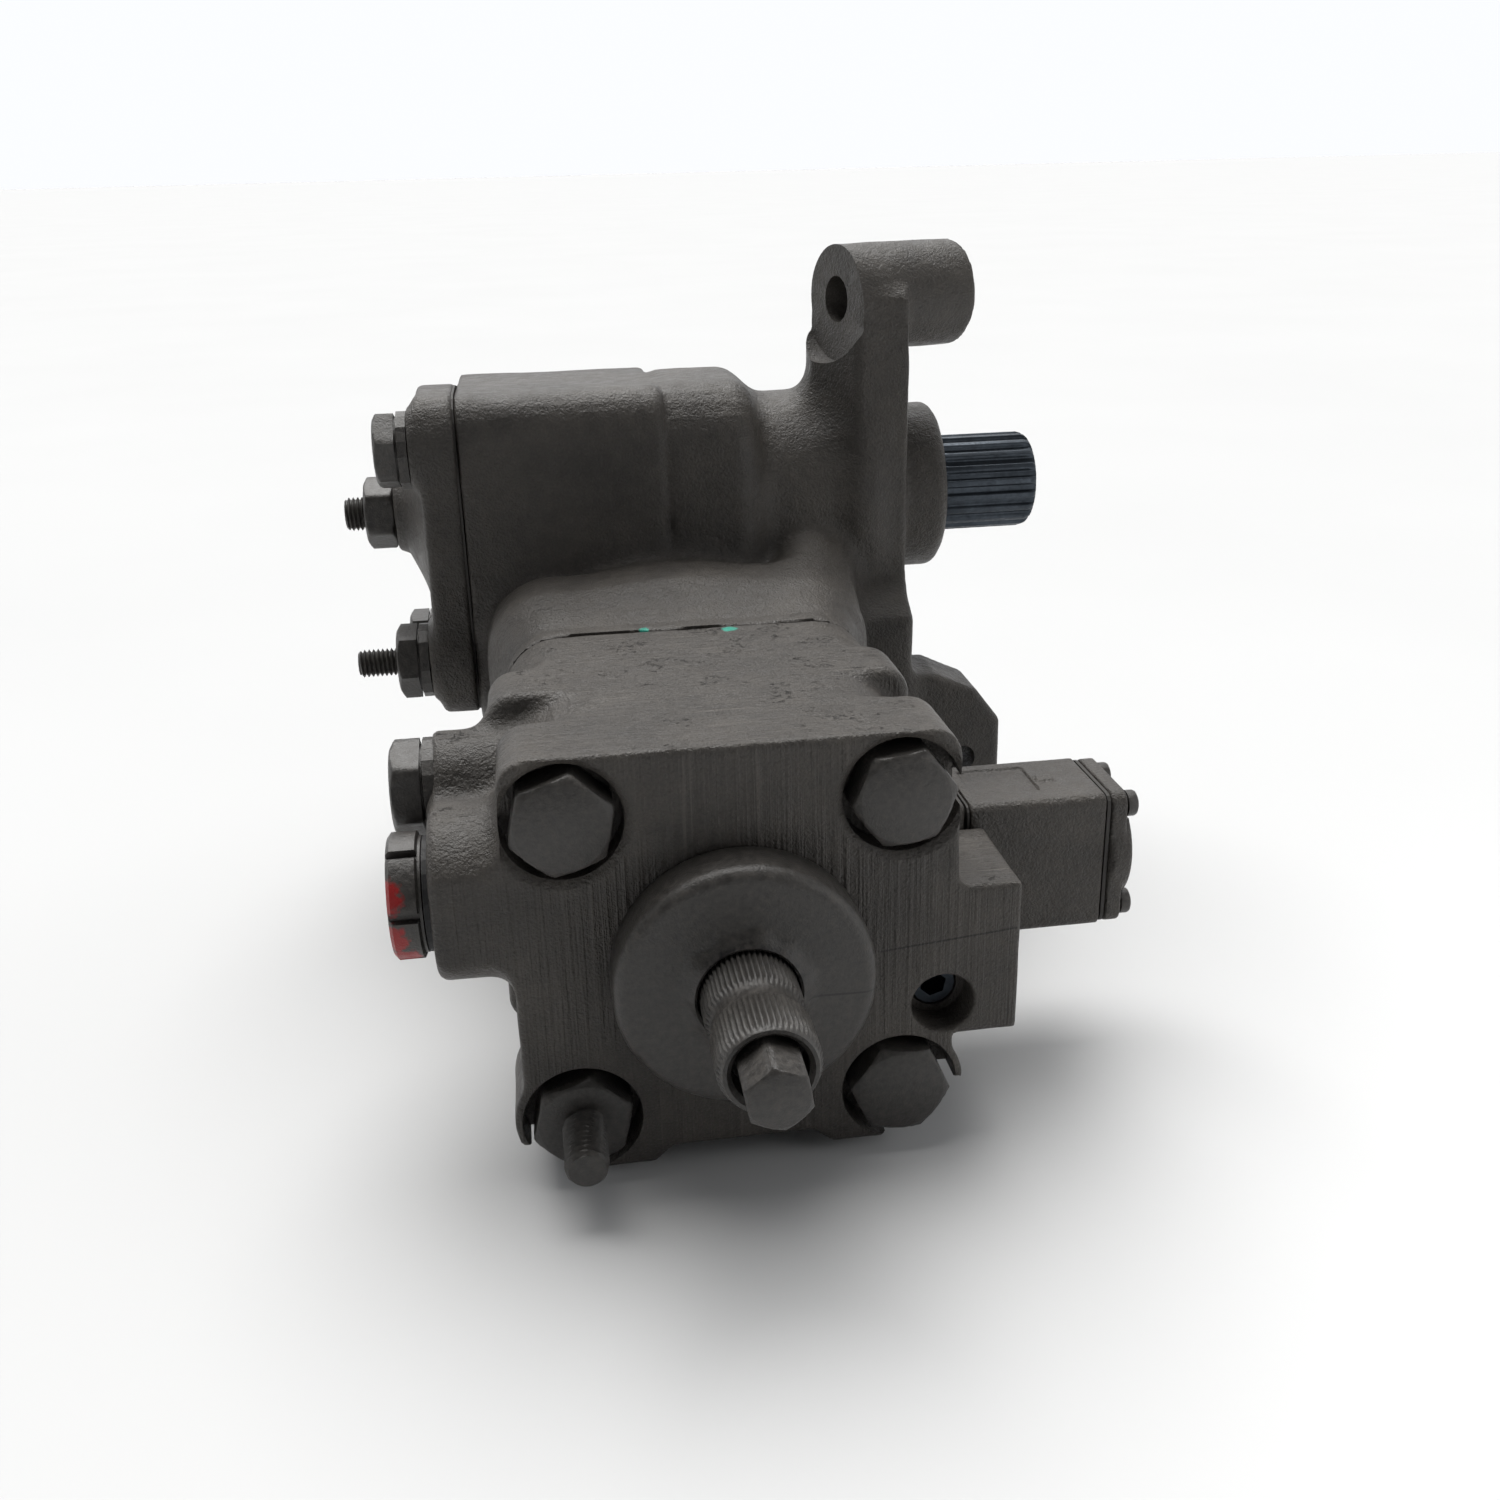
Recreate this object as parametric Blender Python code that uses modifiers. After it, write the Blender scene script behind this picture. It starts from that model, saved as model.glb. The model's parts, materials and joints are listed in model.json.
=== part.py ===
"""Integral hydraulic power steering gear for a heavy vehicle, built from separate solids.

Layout, before the whole is moved to stand on its own origin: the input shaft turns about the Y axis,
the valve housing's front face is at Y = 0 and the sector (output) shaft turns about a line along X.
"""
from math import atan2, acos, ceil, cos, pi, radians, sin, sqrt, tan

import bmesh
import bpy
from mathutils import Matrix, Vector

MM = 0.001
GAP = 0.3 * MM                      # clearance kept between pieces that touch
MERGE = 0.00001

# Sector shaft axis (a line along X) and the extent of the whole gear.
SECTOR_Y = 200 * MM
SECTOR_Z = 78 * MM
X_LEFT, X_RIGHT = -108.5 * MM, 137.5 * MM
Y_FRONT, Y_REAR = -61.2 * MM, 304 * MM
Z_FOOT = -62 * MM
ORIGIN = Vector(((X_LEFT + X_RIGHT) / 2, (Y_FRONT + Y_REAR) / 2, Z_FOOT))

# Rack and sector: one rack pitch per tooth of the sector.
PITCH_RADIUS = 35 * MM
RACK_PITCH = 22 * MM
PRESSURE_ANGLE = radians(25)
ADDENDUM = 4.5 * MM
ROOT_CLEARANCE = 0.6 * MM
HALF_BACKLASH = 0.1 * MM
SECTOR_ROOT_RADIUS = 28.4 * MM
SECTOR_HALF_WIDTH = 21 * MM
SECTOR_TEETH = (-1, 0, 1)

# Worm and balls.
WORM_LEAD = 11 * MM
WORM_RADIUS = 11 * MM
WORM_ROOT_RADIUS = 8.5 * MM
WORM_TURNS = 8
WORM_START = 112 * MM
BALL_CIRCLE_RADIUS = 12.7 * MM
BALL_RADIUS = 3.2 * MM
BALL_TURNS = 2.5
BALL_START = 150 * MM

# Cylinder and piston.
BORE_RADIUS = 51 * MM
BARREL_RADIUS = 66 * MM
BORE_STEPS = 40
PISTON_RADIUS = 50.5 * MM
PISTON_FRONT, PISTON_REAR = 138 * MM, 262 * MM
RACK_FLAT_HALF = 44 * MM
NUT_RADIUS = 16.6 * MM

# Valve housing.
JOINT_Y = 98 * MM
HOUSING_TOP = 59.75 * MM
BOLT_HALF_SPACING = 42.5 * MM
VALVE_BOLTS = [(-1, 1), (1, 1), (1, -1), (-1, -1)]
COUNTERBORE_RADIUS = 15.6 * MM
COUNTERBORE_DEPTH = 9.5 * MM
HEAD_PROUD = 2.6 * MM
BOLT_FLATS = 24 * MM
BOLT_SHANK_RADIUS = 7.9 * MM
BOLT_END = 126 * MM
BOLT_HOLE_RADIUS = 8.6 * MM
BOLT_TURNS = [radians(18), radians(53), radians(6), radians(17)]

# Threaded hose ports in the valve housing's underside, as (X, Y) centres.
PRESSURE_PORT = (-16 * MM, 60 * MM)
RETURN_PORT = (16 * MM, 60 * MM)
PRESSURE_PORT_RADIUS = 8 * MM
RETURN_PORT_RADIUS = 9.5 * MM

# Side cover.
COVER_JOINT_X = -66 * MM
COVER_INNER_X = -67.3 * MM
COVER_OUTER_X = -79.5 * MM
COVER_BOSS_X = -81.5 * MM
COVER_BOLTS = [(167 * MM, 105 * MM), (238.5 * MM, 93 * MM), (226 * MM, 22 * MM), (167 * MM, 33.5 * MM)]
COVER_BOLT_TURNS = [radians(12), radians(24), radians(36), radians(30)]
COVER_BOLT_FLATS = 22 * MM
COVER_SHANK_RADIUS = 6.7 * MM
COVER_HOLE_RADIUS = 7.4 * MM

# Web, collar and output end.
WEB_LEFT, WEB_RIGHT = 64 * MM, 84.4 * MM
COLLAR_END = 101.3 * MM
SHAFT_RADIUS = 17.5 * MM
SPLINE_TEETH = 20
SPLINE_START, SPLINE_END = 102.6 * MM, 136 * MM

# Mounting ear, whose bore points a little to the rear, and mounting lug; the lug's hole is given as (X, Z).
EAR_CENTRE = Vector((63, 182, 146)) * MM
EAR_LENGTH = 45 * MM
EAR_RADIUS = 17.8 * MM
EAR_BORE_RADIUS = 7.5 * MM
EAR_YAW = radians(18)
LUG_HOLE = (103 * MM, -12.5 * MM)
LUG_HOLE_RADIUS = 4.8 * MM

# Left ports and right auxiliary valve: axes along X, given as (Y, Z).
RELIEF_AXIS = (19 * MM, 18 * MM)
PLUG_AXIS = (46 * MM, 36 * MM)
AUX_AXIS = (51.8 * MM, 0.65 * MM)
SOCKET_AXIS = (54 * MM, -18.1 * MM)

# How an object that is built along its local Z (turned) or in its local XY (extruded) is laid along an axis.
TURN_ALONG = {"X": (pi / 2, 0, pi / 2), "-X": (pi / 2, 0, -pi / 2), "Y": (-pi / 2, 0, 0), "Z": (0, 0, 0)}
EXTRUDE_ALONG = {"X": (pi / 2, 0, pi / 2), "Y": (pi / 2, 0, 0), "Z": (0, 0, 0)}

for old in list(bpy.data.objects):
    bpy.data.objects.remove(old)

parts = bpy.data.collections.new("hydraulic_steering_gear")
cutters = bpy.data.collections.new("cutters")
bpy.context.scene.collection.children.link(parts)
bpy.context.scene.collection.children.link(cutters)


def empty(name, parent, place):
    """An empty that carries a group of pieces; its place is in the layout's coordinates."""
    carrier = bpy.data.objects.new(name, None)
    parts.objects.link(carrier)
    carrier.parent = parent
    carrier.location = Vector(place)
    return carrier


root = empty("gear_root", None, -ORIGIN)
sector_axis = empty("sector_axis", root, (0, SECTOR_Y, SECTOR_Z))
piston_axis = empty("piston_axis", root, (0, SECTOR_Y, 0))
worm_axis = empty("worm_axis", root, (0, 0, 0))
input_axis = empty("input_axis", root, (0, 0, 0))
relief_axis = empty("relief_axis", root, (0, *RELIEF_AXIS))
spool_axis = empty("spool_axis", root, (0, *AUX_AXIS))


def look(name, colour, roughness, metallic):
    """A Principled material in one colour."""
    material = bpy.data.materials.new(name)
    material.use_nodes = True
    shader = material.node_tree.nodes["Principled BSDF"]
    shader.inputs["Base Color"].default_value = (*colour, 1)
    shader.inputs["Roughness"].default_value = roughness
    shader.inputs["Metallic"].default_value = metallic
    material.diffuse_color = (*colour, 1)
    return material


PAINTED_CAST = ((0.055, 0.050, 0.045), 0.55, 0.3)
PAINTED_BOLT = ((0.050, 0.047, 0.044), 0.45, 0.4)
DARK_STEEL = ((0.030, 0.035, 0.045), 0.35, 0.9)
BRIGHT_STEEL = ((0.45, 0.45, 0.46), 0.25, 1.0)
SPRING_STEEL = ((0.20, 0.20, 0.21), 0.35, 0.9)
BLACK_RUBBER = ((0.012, 0.012, 0.013), 0.6, 0.0)
GASKET_FIBRE = ((0.030, 0.028, 0.025), 0.8, 0.0)


def piece(shape, finish, parent=root):
    """Make a shape a node of the gear, with a material of its own."""
    shape.data.materials.clear()
    shape.data.materials.append(look(shape.name, *finish))
    parts.objects.link(shape)
    shape.parent = parent
    if parent is not root:
        shape.location = shape.location - parent.location
    return shape


def tool(shape):
    """Keep a shape only for cutting or joining."""
    cutters.objects.link(shape)
    shape.parent = root
    shape.hide_render = True
    shape.display_type = "WIRE"
    return shape


def boolean(target, operation, shapes):
    """Join shapes to the target or cut them from it."""
    for shape in shapes:
        modifier = target.modifiers.new(shape.name, "BOOLEAN")
        modifier.operation = operation
        modifier.solver = "EXACT"
        modifier.object = tool(shape)
    return target


def from_bmesh(name, build, place, rotation=(0, 0, 0)):
    """An object whose mesh comes from a bmesh function."""
    mesh = bpy.data.meshes.new(name)
    working = bmesh.new()
    build(working)
    working.to_mesh(mesh)
    working.free()
    shape = bpy.data.objects.new(name, mesh)
    shape.location = Vector(place)
    shape.rotation_euler = rotation
    return shape


def box(name, low, high):
    """A block between two corners."""
    low, high = Vector(low), Vector(high)

    def build(working):
        bmesh.ops.create_cube(working, size=1)
        bmesh.ops.scale(working, vec=high - low, verts=working.verts)

    return from_bmesh(name, build, (low + high) / 2)


def cylinder(name, radius, start, end, along, centre, steps=24, turn=0.0):
    """A cylinder or prism from start to end along an axis; centre is the axis' other two coordinates."""

    def build(working):
        bmesh.ops.create_cone(working, cap_ends=True, segments=steps, radius1=radius, radius2=radius,
                              depth=end - start, matrix=Matrix.Rotation(turn, 4, "Z"))

    shape = from_bmesh(name, build, axis_point(along, centre, (start + end) / 2), TURN_ALONG[along])
    shape.data.shade_smooth()
    shape.data.set_sharp_from_angle(angle=radians(40))
    return shape


def axis_point(along, centre, distance):
    """The point at a distance along an axis line that passes through centre."""
    if along == "X":
        return (distance, *centre)
    if along == "-X":
        return (-distance, *centre)
    if along == "Y":
        return (centre[0], distance, centre[1])
    return (*centre, distance)


def turned(name, profile, along, centre, steps=24):
    """A solid of revolution: profile holds (radius, distance along the axis), from axis to axis or a ring."""
    area = sum(a[0] * b[1] - b[0] * a[1] for a, b in zip(profile, profile[1:] + profile[:1]))
    points = profile[::-1] if area > 0 else profile
    edges = [(i, i + 1) for i in range(len(points) - 1)]
    if points[0][0] > 0:
        edges.append((len(points) - 1, 0))
    mesh = bpy.data.meshes.new(name)
    mesh.from_pydata([(radius, 0, distance) for radius, distance in points], edges, [])
    shape = bpy.data.objects.new(name, mesh)
    shape.location = axis_point(along, centre, 0)
    shape.rotation_euler = TURN_ALONG[along]
    screw = shape.modifiers.new("Turn", "SCREW")
    screw.steps = steps
    screw.render_steps = steps
    screw.use_merge_vertices = True
    screw.merge_threshold = MERGE
    return shape


def ring(name, inner, outer, start, end, along, centre, steps=24):
    """A plain ring or washer."""
    return turned(name, [(inner, start), (outer, start), (outer, end), (inner, end)], along, centre, steps)


def rounded(corners, arc_steps=4):
    """A closed outline through (u, v, radius) corners, each rounded by an arc."""
    outline = []
    for index, (u, v, radius) in enumerate(corners):
        here = Vector((u, v))
        if radius == 0:
            outline.append(here)
            continue
        back = (Vector(corners[index - 1][:2]) - here).normalized()
        ahead = (Vector(corners[(index + 1) % len(corners)][:2]) - here).normalized()
        half = back.angle(ahead) / 2
        centre = here + (back + ahead).normalized() * (radius / sin(half))
        first = here + back * (radius / tan(half)) - centre
        last = here + ahead * (radius / tan(half)) - centre
        start = atan2(first.y, first.x)
        sweep = (atan2(last.y, last.x) - start + pi) % (2 * pi) - pi
        for step in range(arc_steps + 1):
            angle = start + sweep * step / arc_steps
            outline.append(centre + radius * Vector((cos(angle), sin(angle))))
    return outline


def mesh_of(shape):
    """A welded mesh object in place of a curve object, or of one with modifiers."""
    bpy.context.scene.collection.objects.link(shape)
    bpy.context.view_layer.update()
    evaluated = shape.evaluated_get(bpy.context.evaluated_depsgraph_get())
    mesh = bpy.data.meshes.new_from_object(evaluated)
    working = bmesh.new()
    working.from_mesh(mesh)
    bmesh.ops.remove_doubles(working, verts=working.verts, dist=MERGE)
    bmesh.ops.recalc_face_normals(working, faces=working.faces)
    working.to_mesh(mesh)
    working.free()
    name = shape.name
    place, rotation = shape.location.copy(), shape.rotation_euler.copy()
    bpy.data.objects.remove(shape)
    solid = bpy.data.objects.new(name, mesh)
    solid.location = place
    solid.rotation_euler = rotation
    return solid


def extruded(name, outline, low, high, along):
    """A flat outline thickened from low to high along X (outline in Y, Z), Y (in X, Z) or Z (in X, Y)."""
    curve = bpy.data.curves.new(name, "CURVE")
    curve.dimensions = "2D"
    curve.fill_mode = "BOTH"
    curve.extrude = (high - low) / 2
    spline = curve.splines.new("POLY")
    spline.points.add(len(outline) - 1)
    for point, (u, v) in zip(spline.points, outline):
        point.co = (u, v, 0, 1)
    spline.use_cyclic_u = True
    shape = bpy.data.objects.new(name, curve)
    shape.location = axis_point(along, (0, 0), (low + high) / 2)
    shape.rotation_euler = EXTRUDE_ALONG[along]
    return mesh_of(shape)


def wire(name, points, radius, place, rotation=(0, 0, 0)):
    """A round bar along a list of points, with closed ends."""
    curve = bpy.data.curves.new(name, "CURVE")
    curve.dimensions = "3D"
    curve.bevel_depth = radius
    curve.bevel_resolution = 2
    curve.use_fill_caps = True
    spline = curve.splines.new("POLY")
    spline.points.add(len(points) - 1)
    for target, point in zip(spline.points, points):
        target.co = (*point, 1)
    shape = bpy.data.objects.new(name, curve)
    shape.location = Vector(place)
    shape.rotation_euler = rotation
    return mesh_of(shape)


def helix(radius, lead, turns, points_per_turn, start=0.0):
    """Points of a right-hand helix about the local Z axis; the phase depends only on the height."""
    count = ceil(turns * points_per_turn)
    points = []
    for index in range(count + 1):
        height = start + lead * turns * index / count
        angle = 2 * pi * height / lead
        points.append((radius * cos(angle), radius * sin(angle), height))
    return points


def coil_spring(name, radius, wire_radius, start, end, turns, along, centre):
    """A compression spring."""
    points = helix(radius, (end - start - 2 * wire_radius) / turns, turns, 9)
    return wire(name, points, wire_radius, axis_point(along, centre, start + wire_radius), TURN_ALONG[along])


def hex_radius(across_flats):
    """Centre to corner of a hexagon."""
    return across_flats / sqrt(3)


def hex_bolt(name, flats, head, shank_radius, shank_end, along, centre, turn=0.0, stud=None):
    """A hex bolt: its head spans head = (near, far), its shank ends at shank_end; stud is (radius, end)."""
    low, high = sorted(head)
    bolt = cylinder(name, hex_radius(flats), low, high, along, centre, 6, turn=turn)
    middle = (low + high) / 2
    shank = cylinder(name + "_shank", shank_radius, *sorted((middle, shank_end)), along, centre, 16)
    joined = [shank]
    if stud:
        joined.append(cylinder(name + "_stud", stud[0], *sorted((middle, stud[1])), along, centre, 12))
    return boolean(bolt, "UNION", joined)


# ---------------------------------------------------------------- gear housing

def cover_outline(inset=0.0):
    """Outline of the side cover, in Y and Z."""
    low_y, high_y = 156 * MM + inset, 251 * MM - inset
    top = 122.5 * MM - inset
    return rounded([(low_y, 15 * MM + inset, 12 * MM), (high_y, 8 * MM + inset, 12 * MM),
                    (high_y, 113 * MM - inset, 22 * MM), (190 * MM, top, 30 * MM), (low_y, top, 12 * MM)])


def ear_cylinder(name, radius, start, end, steps=20):
    """A cylinder on the ear's own axis, which points a little to the rear."""
    direction = Vector((cos(EAR_YAW), sin(EAR_YAW), 0))
    shape = cylinder(name, radius, start, end, "X", (0, 0), steps)
    shape.location = EAR_CENTRE + direction * (start + end) / 2
    shape.rotation_euler = (pi / 2, 0, pi / 2 + EAR_YAW)
    return shape


def valve_bolt_places():
    """Centres of the four valve housing bolts, in X and Z."""
    return [(side * BOLT_HALF_SPACING, up * BOLT_HALF_SPACING) for side, up in VALVE_BOLTS]


def gear_housing():
    """The main casting: cylinder, sector box, neck, web, ear, collar, lug and foot."""
    sector_centre = (SECTOR_Y, SECTOR_Z)
    bolt_places = valve_bolt_places()
    front_flange = rounded([(-56 * MM, -57 * MM, 17 * MM), (55 * MM, -57 * MM, 17 * MM),
                            (55 * MM, 60 * MM, 17 * MM), (-56 * MM, 60 * MM, 17 * MM)])
    shoulder = rounded([(-60 * MM, -60 * MM, 20 * MM), (59 * MM, -60 * MM, 20 * MM),
                        (59 * MM, 65 * MM, 20 * MM), (-60 * MM, 65 * MM, 20 * MM)])
    web = rounded([(165 * MM, -30 * MM, 4 * MM), (236 * MM, -30 * MM, 10 * MM),
                   (238 * MM, 92 * MM, 20 * MM), (212 * MM, 118 * MM, 10 * MM),
                   (199 * MM, 160 * MM, 14 * MM), (168 * MM, 160 * MM, 12 * MM)])
    ear_root = rounded([(65 * MM, 167 * MM, 0), (86 * MM, 167 * MM, 0), (86 * MM, 199 * MM, 0),
                        (53 * MM, 199 * MM, 6 * MM), (53 * MM, 176 * MM, 6 * MM)])
    lug = rounded([(60 * MM, -40 * MM, 0), (104 * MM, -40 * MM, 8 * MM), (117 * MM, -28 * MM, 6 * MM),
                   (117 * MM, 1 * MM, 2 * MM), (108 * MM, 13 * MM, 4 * MM), (93 * MM, 20 * MM, 4 * MM),
                   (60 * MM, 20 * MM, 0)])
    collar = [(0, 60 * MM), (29.5 * MM, 60 * MM), (29.5 * MM, 93 * MM), (28 * MM, 97.5 * MM),
              (25.5 * MM, COLLAR_END), (0, COLLAR_END)]
    sector_box = rounded([(156 * MM, 15 * MM, 12 * MM), (252 * MM, 8 * MM, 12 * MM),
                          (252 * MM, 119.5 * MM, 22 * MM), (156 * MM, 122.5 * MM, 12 * MM)])
    drum = rounded([(157 * MM, 20 * MM, 6 * MM), (243 * MM, 20 * MM, 6 * MM),
                    (243 * MM, 122 * MM, 36 * MM), (157 * MM, 122 * MM, 22 * MM)])
    barrel = [(0, 118 * MM), (BARREL_RADIUS, 118 * MM), (BARREL_RADIUS, 296 * MM),
              (60 * MM, Y_REAR), (0, Y_REAR)]
    casting = turned("gear_housing", barrel, "Y", (0, 0), BORE_STEPS)
    boolean(casting, "UNION", [
        extruded("front_flange", front_flange, JOINT_Y + 2 * GAP, 121 * MM, "Y"),
        extruded("shoulder", shoulder, 114 * MM, 150 * MM, "Y"),
        *[cylinder("bolt_boss", 17.5 * MM, 140 * MM, 165 * MM, "Y", place, 16) for place in bolt_places],
        box("foot", (-34 * MM, 112 * MM, -70 * MM), (34 * MM, 292 * MM, -40 * MM)),
        extruded("sector_box", sector_box, COVER_JOINT_X, 0, "X"),
        extruded("sector_drum", drum, -4 * MM, 33 * MM, "X"),
        cylinder("neck", 36 * MM, 30 * MM, 70 * MM, "X", sector_centre, 24),
        extruded("web", web, WEB_LEFT, WEB_RIGHT, "X"),
        extruded("ear_root", ear_root, 90 * MM, 138 * MM, "Z"),
        turned("collar", collar, "X", sector_centre, 24),
        ear_cylinder("ear", EAR_RADIUS, -2 * MM, EAR_LENGTH),
        box("lower_block", (40 * MM, 150 * MM, -38 * MM), (83 * MM, 234 * MM, 44 * MM)),
        extruded("lug", lug, 152 * MM, 178 * MM, "Y"),
    ])
    cavity = [(SECTOR_Y + 41 * MM * cos(angle), SECTOR_Z + 41 * MM * sin(angle))
              for angle in [radians(168 + 12 * step) for step in range(18)]]
    cavity_end = SECTOR_HALF_WIDTH + 4 * MM
    bearing_bore = [(0, cavity_end - 1 * MM), (21 * MM, cavity_end - 1 * MM), (21 * MM, 89 * MM),
                    (24 * MM, 89 * MM), (24 * MM, 110 * MM), (0, 110 * MM)]
    below_foot = box("below_foot", (-80 * MM, 90 * MM, -90 * MM), (60 * MM, 320 * MM, Z_FOOT))
    return boolean(casting, "DIFFERENCE", [
        below_foot,
        cylinder("cylinder_bore", BORE_RADIUS, 90 * MM, 292 * MM, "Y", (0, 0), BORE_STEPS),
        extruded("sector_cavity", cavity, COVER_JOINT_X - 1 * MM, cavity_end, "X"),
        cylinder("hub_cavity", 31 * MM, COVER_JOINT_X - 1 * MM, cavity_end, "X", sector_centre, 24),
        turned("bearing_bore", bearing_bore, "X", sector_centre, 24),
        ear_cylinder("ear_bore", EAR_BORE_RADIUS, -10 * MM, EAR_LENGTH + 10 * MM, 16),
        ear_cylinder("ear_spotface", 21 * MM, -20 * MM, 0, 20),
        cylinder("lug_hole", LUG_HOLE_RADIUS, 140 * MM, 190 * MM, "Y", LUG_HOLE, 16),
        *[cylinder("valve_thread", BOLT_HOLE_RADIUS, 90 * MM, 128 * MM, "Y", place, 12)
          for place in bolt_places],
        *[cylinder("cover_thread", COVER_HOLE_RADIUS, -70 * MM, -53 * MM, "X", centre, 12)
          for centre in COVER_BOLTS],
    ])


# --------------------------------------------------------------- valve housing

def valve_housing():
    """The casting that holds the rotary valve, with its port bosses and the step on its right side."""
    front = rounded([(-57 * MM, -38 * MM, 3 * MM), (-38 * MM, -58.5 * MM, 2 * MM),
                     (-24 * MM, -58.5 * MM, 2 * MM), (-19 * MM, -54 * MM, 0),
                     (19 * MM, -54 * MM, 0), (24 * MM, -58.5 * MM, 2 * MM),
                     (38 * MM, -58.5 * MM, 2 * MM), (57 * MM, -38 * MM, 3 * MM),
                     (57.5 * MM, HOUSING_TOP, 8 * MM), (-57.5 * MM, HOUSING_TOP, 8 * MM)])
    waist = rounded([(-53.5 * MM, -54 * MM, 12 * MM), (53.5 * MM, -54 * MM, 12 * MM),
                     (53.5 * MM, HOUSING_TOP, 17 * MM), (-53.5 * MM, HOUSING_TOP, 17 * MM)])
    ears = rounded([(-61 * MM, -36 * MM, 6 * MM), (-50 * MM, -56 * MM, 6 * MM),
                    (50 * MM, -56 * MM, 6 * MM), (57 * MM, -36 * MM, 6 * MM),
                    (56 * MM, HOUSING_TOP, 6 * MM), (-60 * MM, HOUSING_TOP, 6 * MM)])
    joint = rounded([(-56 * MM, -57 * MM, 17 * MM), (55 * MM, -57 * MM, 17 * MM),
                     (55 * MM, HOUSING_TOP, 17 * MM), (-56 * MM, HOUSING_TOP, 17 * MM)])
    step = rounded([(40 * MM, -28 * MM, 0), (74.5 * MM, -28 * MM, 1 * MM), (74.5 * MM, 15.5 * MM, 1 * MM),
                    (60 * MM, 15.5 * MM, 0), (56.5 * MM, 19 * MM, 0), (40 * MM, 19 * MM, 0)])
    spigot = [(0, 60 * MM), (47 * MM, 60 * MM), (47 * MM, 106 * MM), (0, 106 * MM)]
    casting = extruded("valve_housing", front, 0, 28 * MM, "Y")
    boolean(casting, "UNION", [
        extruded("waist", waist, 26 * MM, 50 * MM, "Y"),
        extruded("rear_ears", ears, 47 * MM, 72 * MM, "Y"),
        extruded("joint_end", joint, 70 * MM, JOINT_Y, "Y"),
        cylinder("relief_boss", 22.5 * MM, -75.8 * MM, -40 * MM, "X", RELIEF_AXIS, 24),
        cylinder("plug_boss", 15 * MM, -74.5 * MM, -40 * MM, "X", PLUG_AXIS, 20),
        extruded("right_step", step, 0, 35.6 * MM, "Y"),
        box("auxiliary_pad", (45 * MM, 34 * MM, -21 * MM), (70 * MM, 70 * MM, 22.5 * MM)),
        turned("spigot", spigot, "Y", (0, 0), BORE_STEPS),
    ])
    bolt_places = valve_bolt_places()
    valve_bore = [(0, -5 * MM), (16 * MM, -5 * MM), (16 * MM, 14 * MM), (21.5 * MM, 14 * MM),
                  (21.5 * MM, 78 * MM), (30 * MM, 78 * MM), (30 * MM, 99 * MM), (41 * MM, 99 * MM),
                  (41 * MM, 110 * MM), (0, 110 * MM)]
    return boolean(casting, "DIFFERENCE", [
        box("front_plane", (-90 * MM, -20 * MM, -70 * MM), (90 * MM, 0, 80 * MM)),
        turned("valve_bore", valve_bore, "Y", (0, 0)),
        *[cylinder("counterbore", COUNTERBORE_RADIUS, -5 * MM, COUNTERBORE_DEPTH, "Y", place, 20)
          for place in bolt_places],
        *[cylinder("bolt_hole", BOLT_HOLE_RADIUS, 5 * MM, 110 * MM, "Y", place, 12) for place in bolt_places],
        cylinder("relief_bore", 9 * MM, -80 * MM, -32 * MM, "X", RELIEF_AXIS, 16),
        cylinder("relief_passage", 3 * MM, -34 * MM, 0, "X", RELIEF_AXIS, 8),
        cylinder("plug_spotface", 14.4 * MM, -85 * MM, -73.6 * MM, "X", PLUG_AXIS, 20),
        cylinder("plug_bore", 8.2 * MM, -80 * MM, -54 * MM, "X", PLUG_AXIS, 12),
        cylinder("socket_counterbore", 8.5 * MM, -5 * MM, 10 * MM, "Y", SOCKET_AXIS, 16),
        cylinder("socket_bore", 6.4 * MM, 5 * MM, 32 * MM, "Y", SOCKET_AXIS, 12),
        cylinder("pressure_port", PRESSURE_PORT_RADIUS, -70 * MM, -34 * MM, "Z", PRESSURE_PORT, 16),
        cylinder("return_port", RETURN_PORT_RADIUS, -70 * MM, -34 * MM, "Z", RETURN_PORT, 16),
        *[cylinder("port_passage", 3 * MM, -40 * MM, -10 * MM, "Z", place, 8)
          for place in (PRESSURE_PORT, RETURN_PORT)],
    ])


piece(gear_housing(), PAINTED_CAST)
piece(valve_housing(), PAINTED_CAST)
seal_ring = ring("housing_seal_ring", 47.3 * MM, 50.6 * MM, 100 * MM, 104 * MM, "Y", (0, 0), BORE_STEPS)
piece(seal_ring, BLACK_RUBBER)
piece(ring("bearing_retainer", 15.6 * MM, 40.5 * MM, 99.3 * MM, 105.7 * MM, "Y", (0, 0)), DARK_STEEL)

# Valve housing bolts: the lower left one is a stud bolt.
for number, ((side, up), turn) in enumerate(zip(VALVE_BOLTS, BOLT_TURNS), 1):
    place = (side * BOLT_HALF_SPACING, up * BOLT_HALF_SPACING)
    head = (-HEAD_PROUD, COUNTERBORE_DEPTH - GAP)
    is_stud = (side, up) == (-1, -1)
    name = "valve_stud_bolt" if is_stud else f"valve_bolt_{number}"
    stud = (5.8 * MM, -21.6 * MM) if is_stud else None
    bolt = hex_bolt(name, BOLT_FLATS, head, BOLT_SHANK_RADIUS, BOLT_END, "Y", place, turn, stud)
    piece(bolt, PAINTED_BOLT)

# ------------------------------------------------------- input shaft and valve

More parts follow.
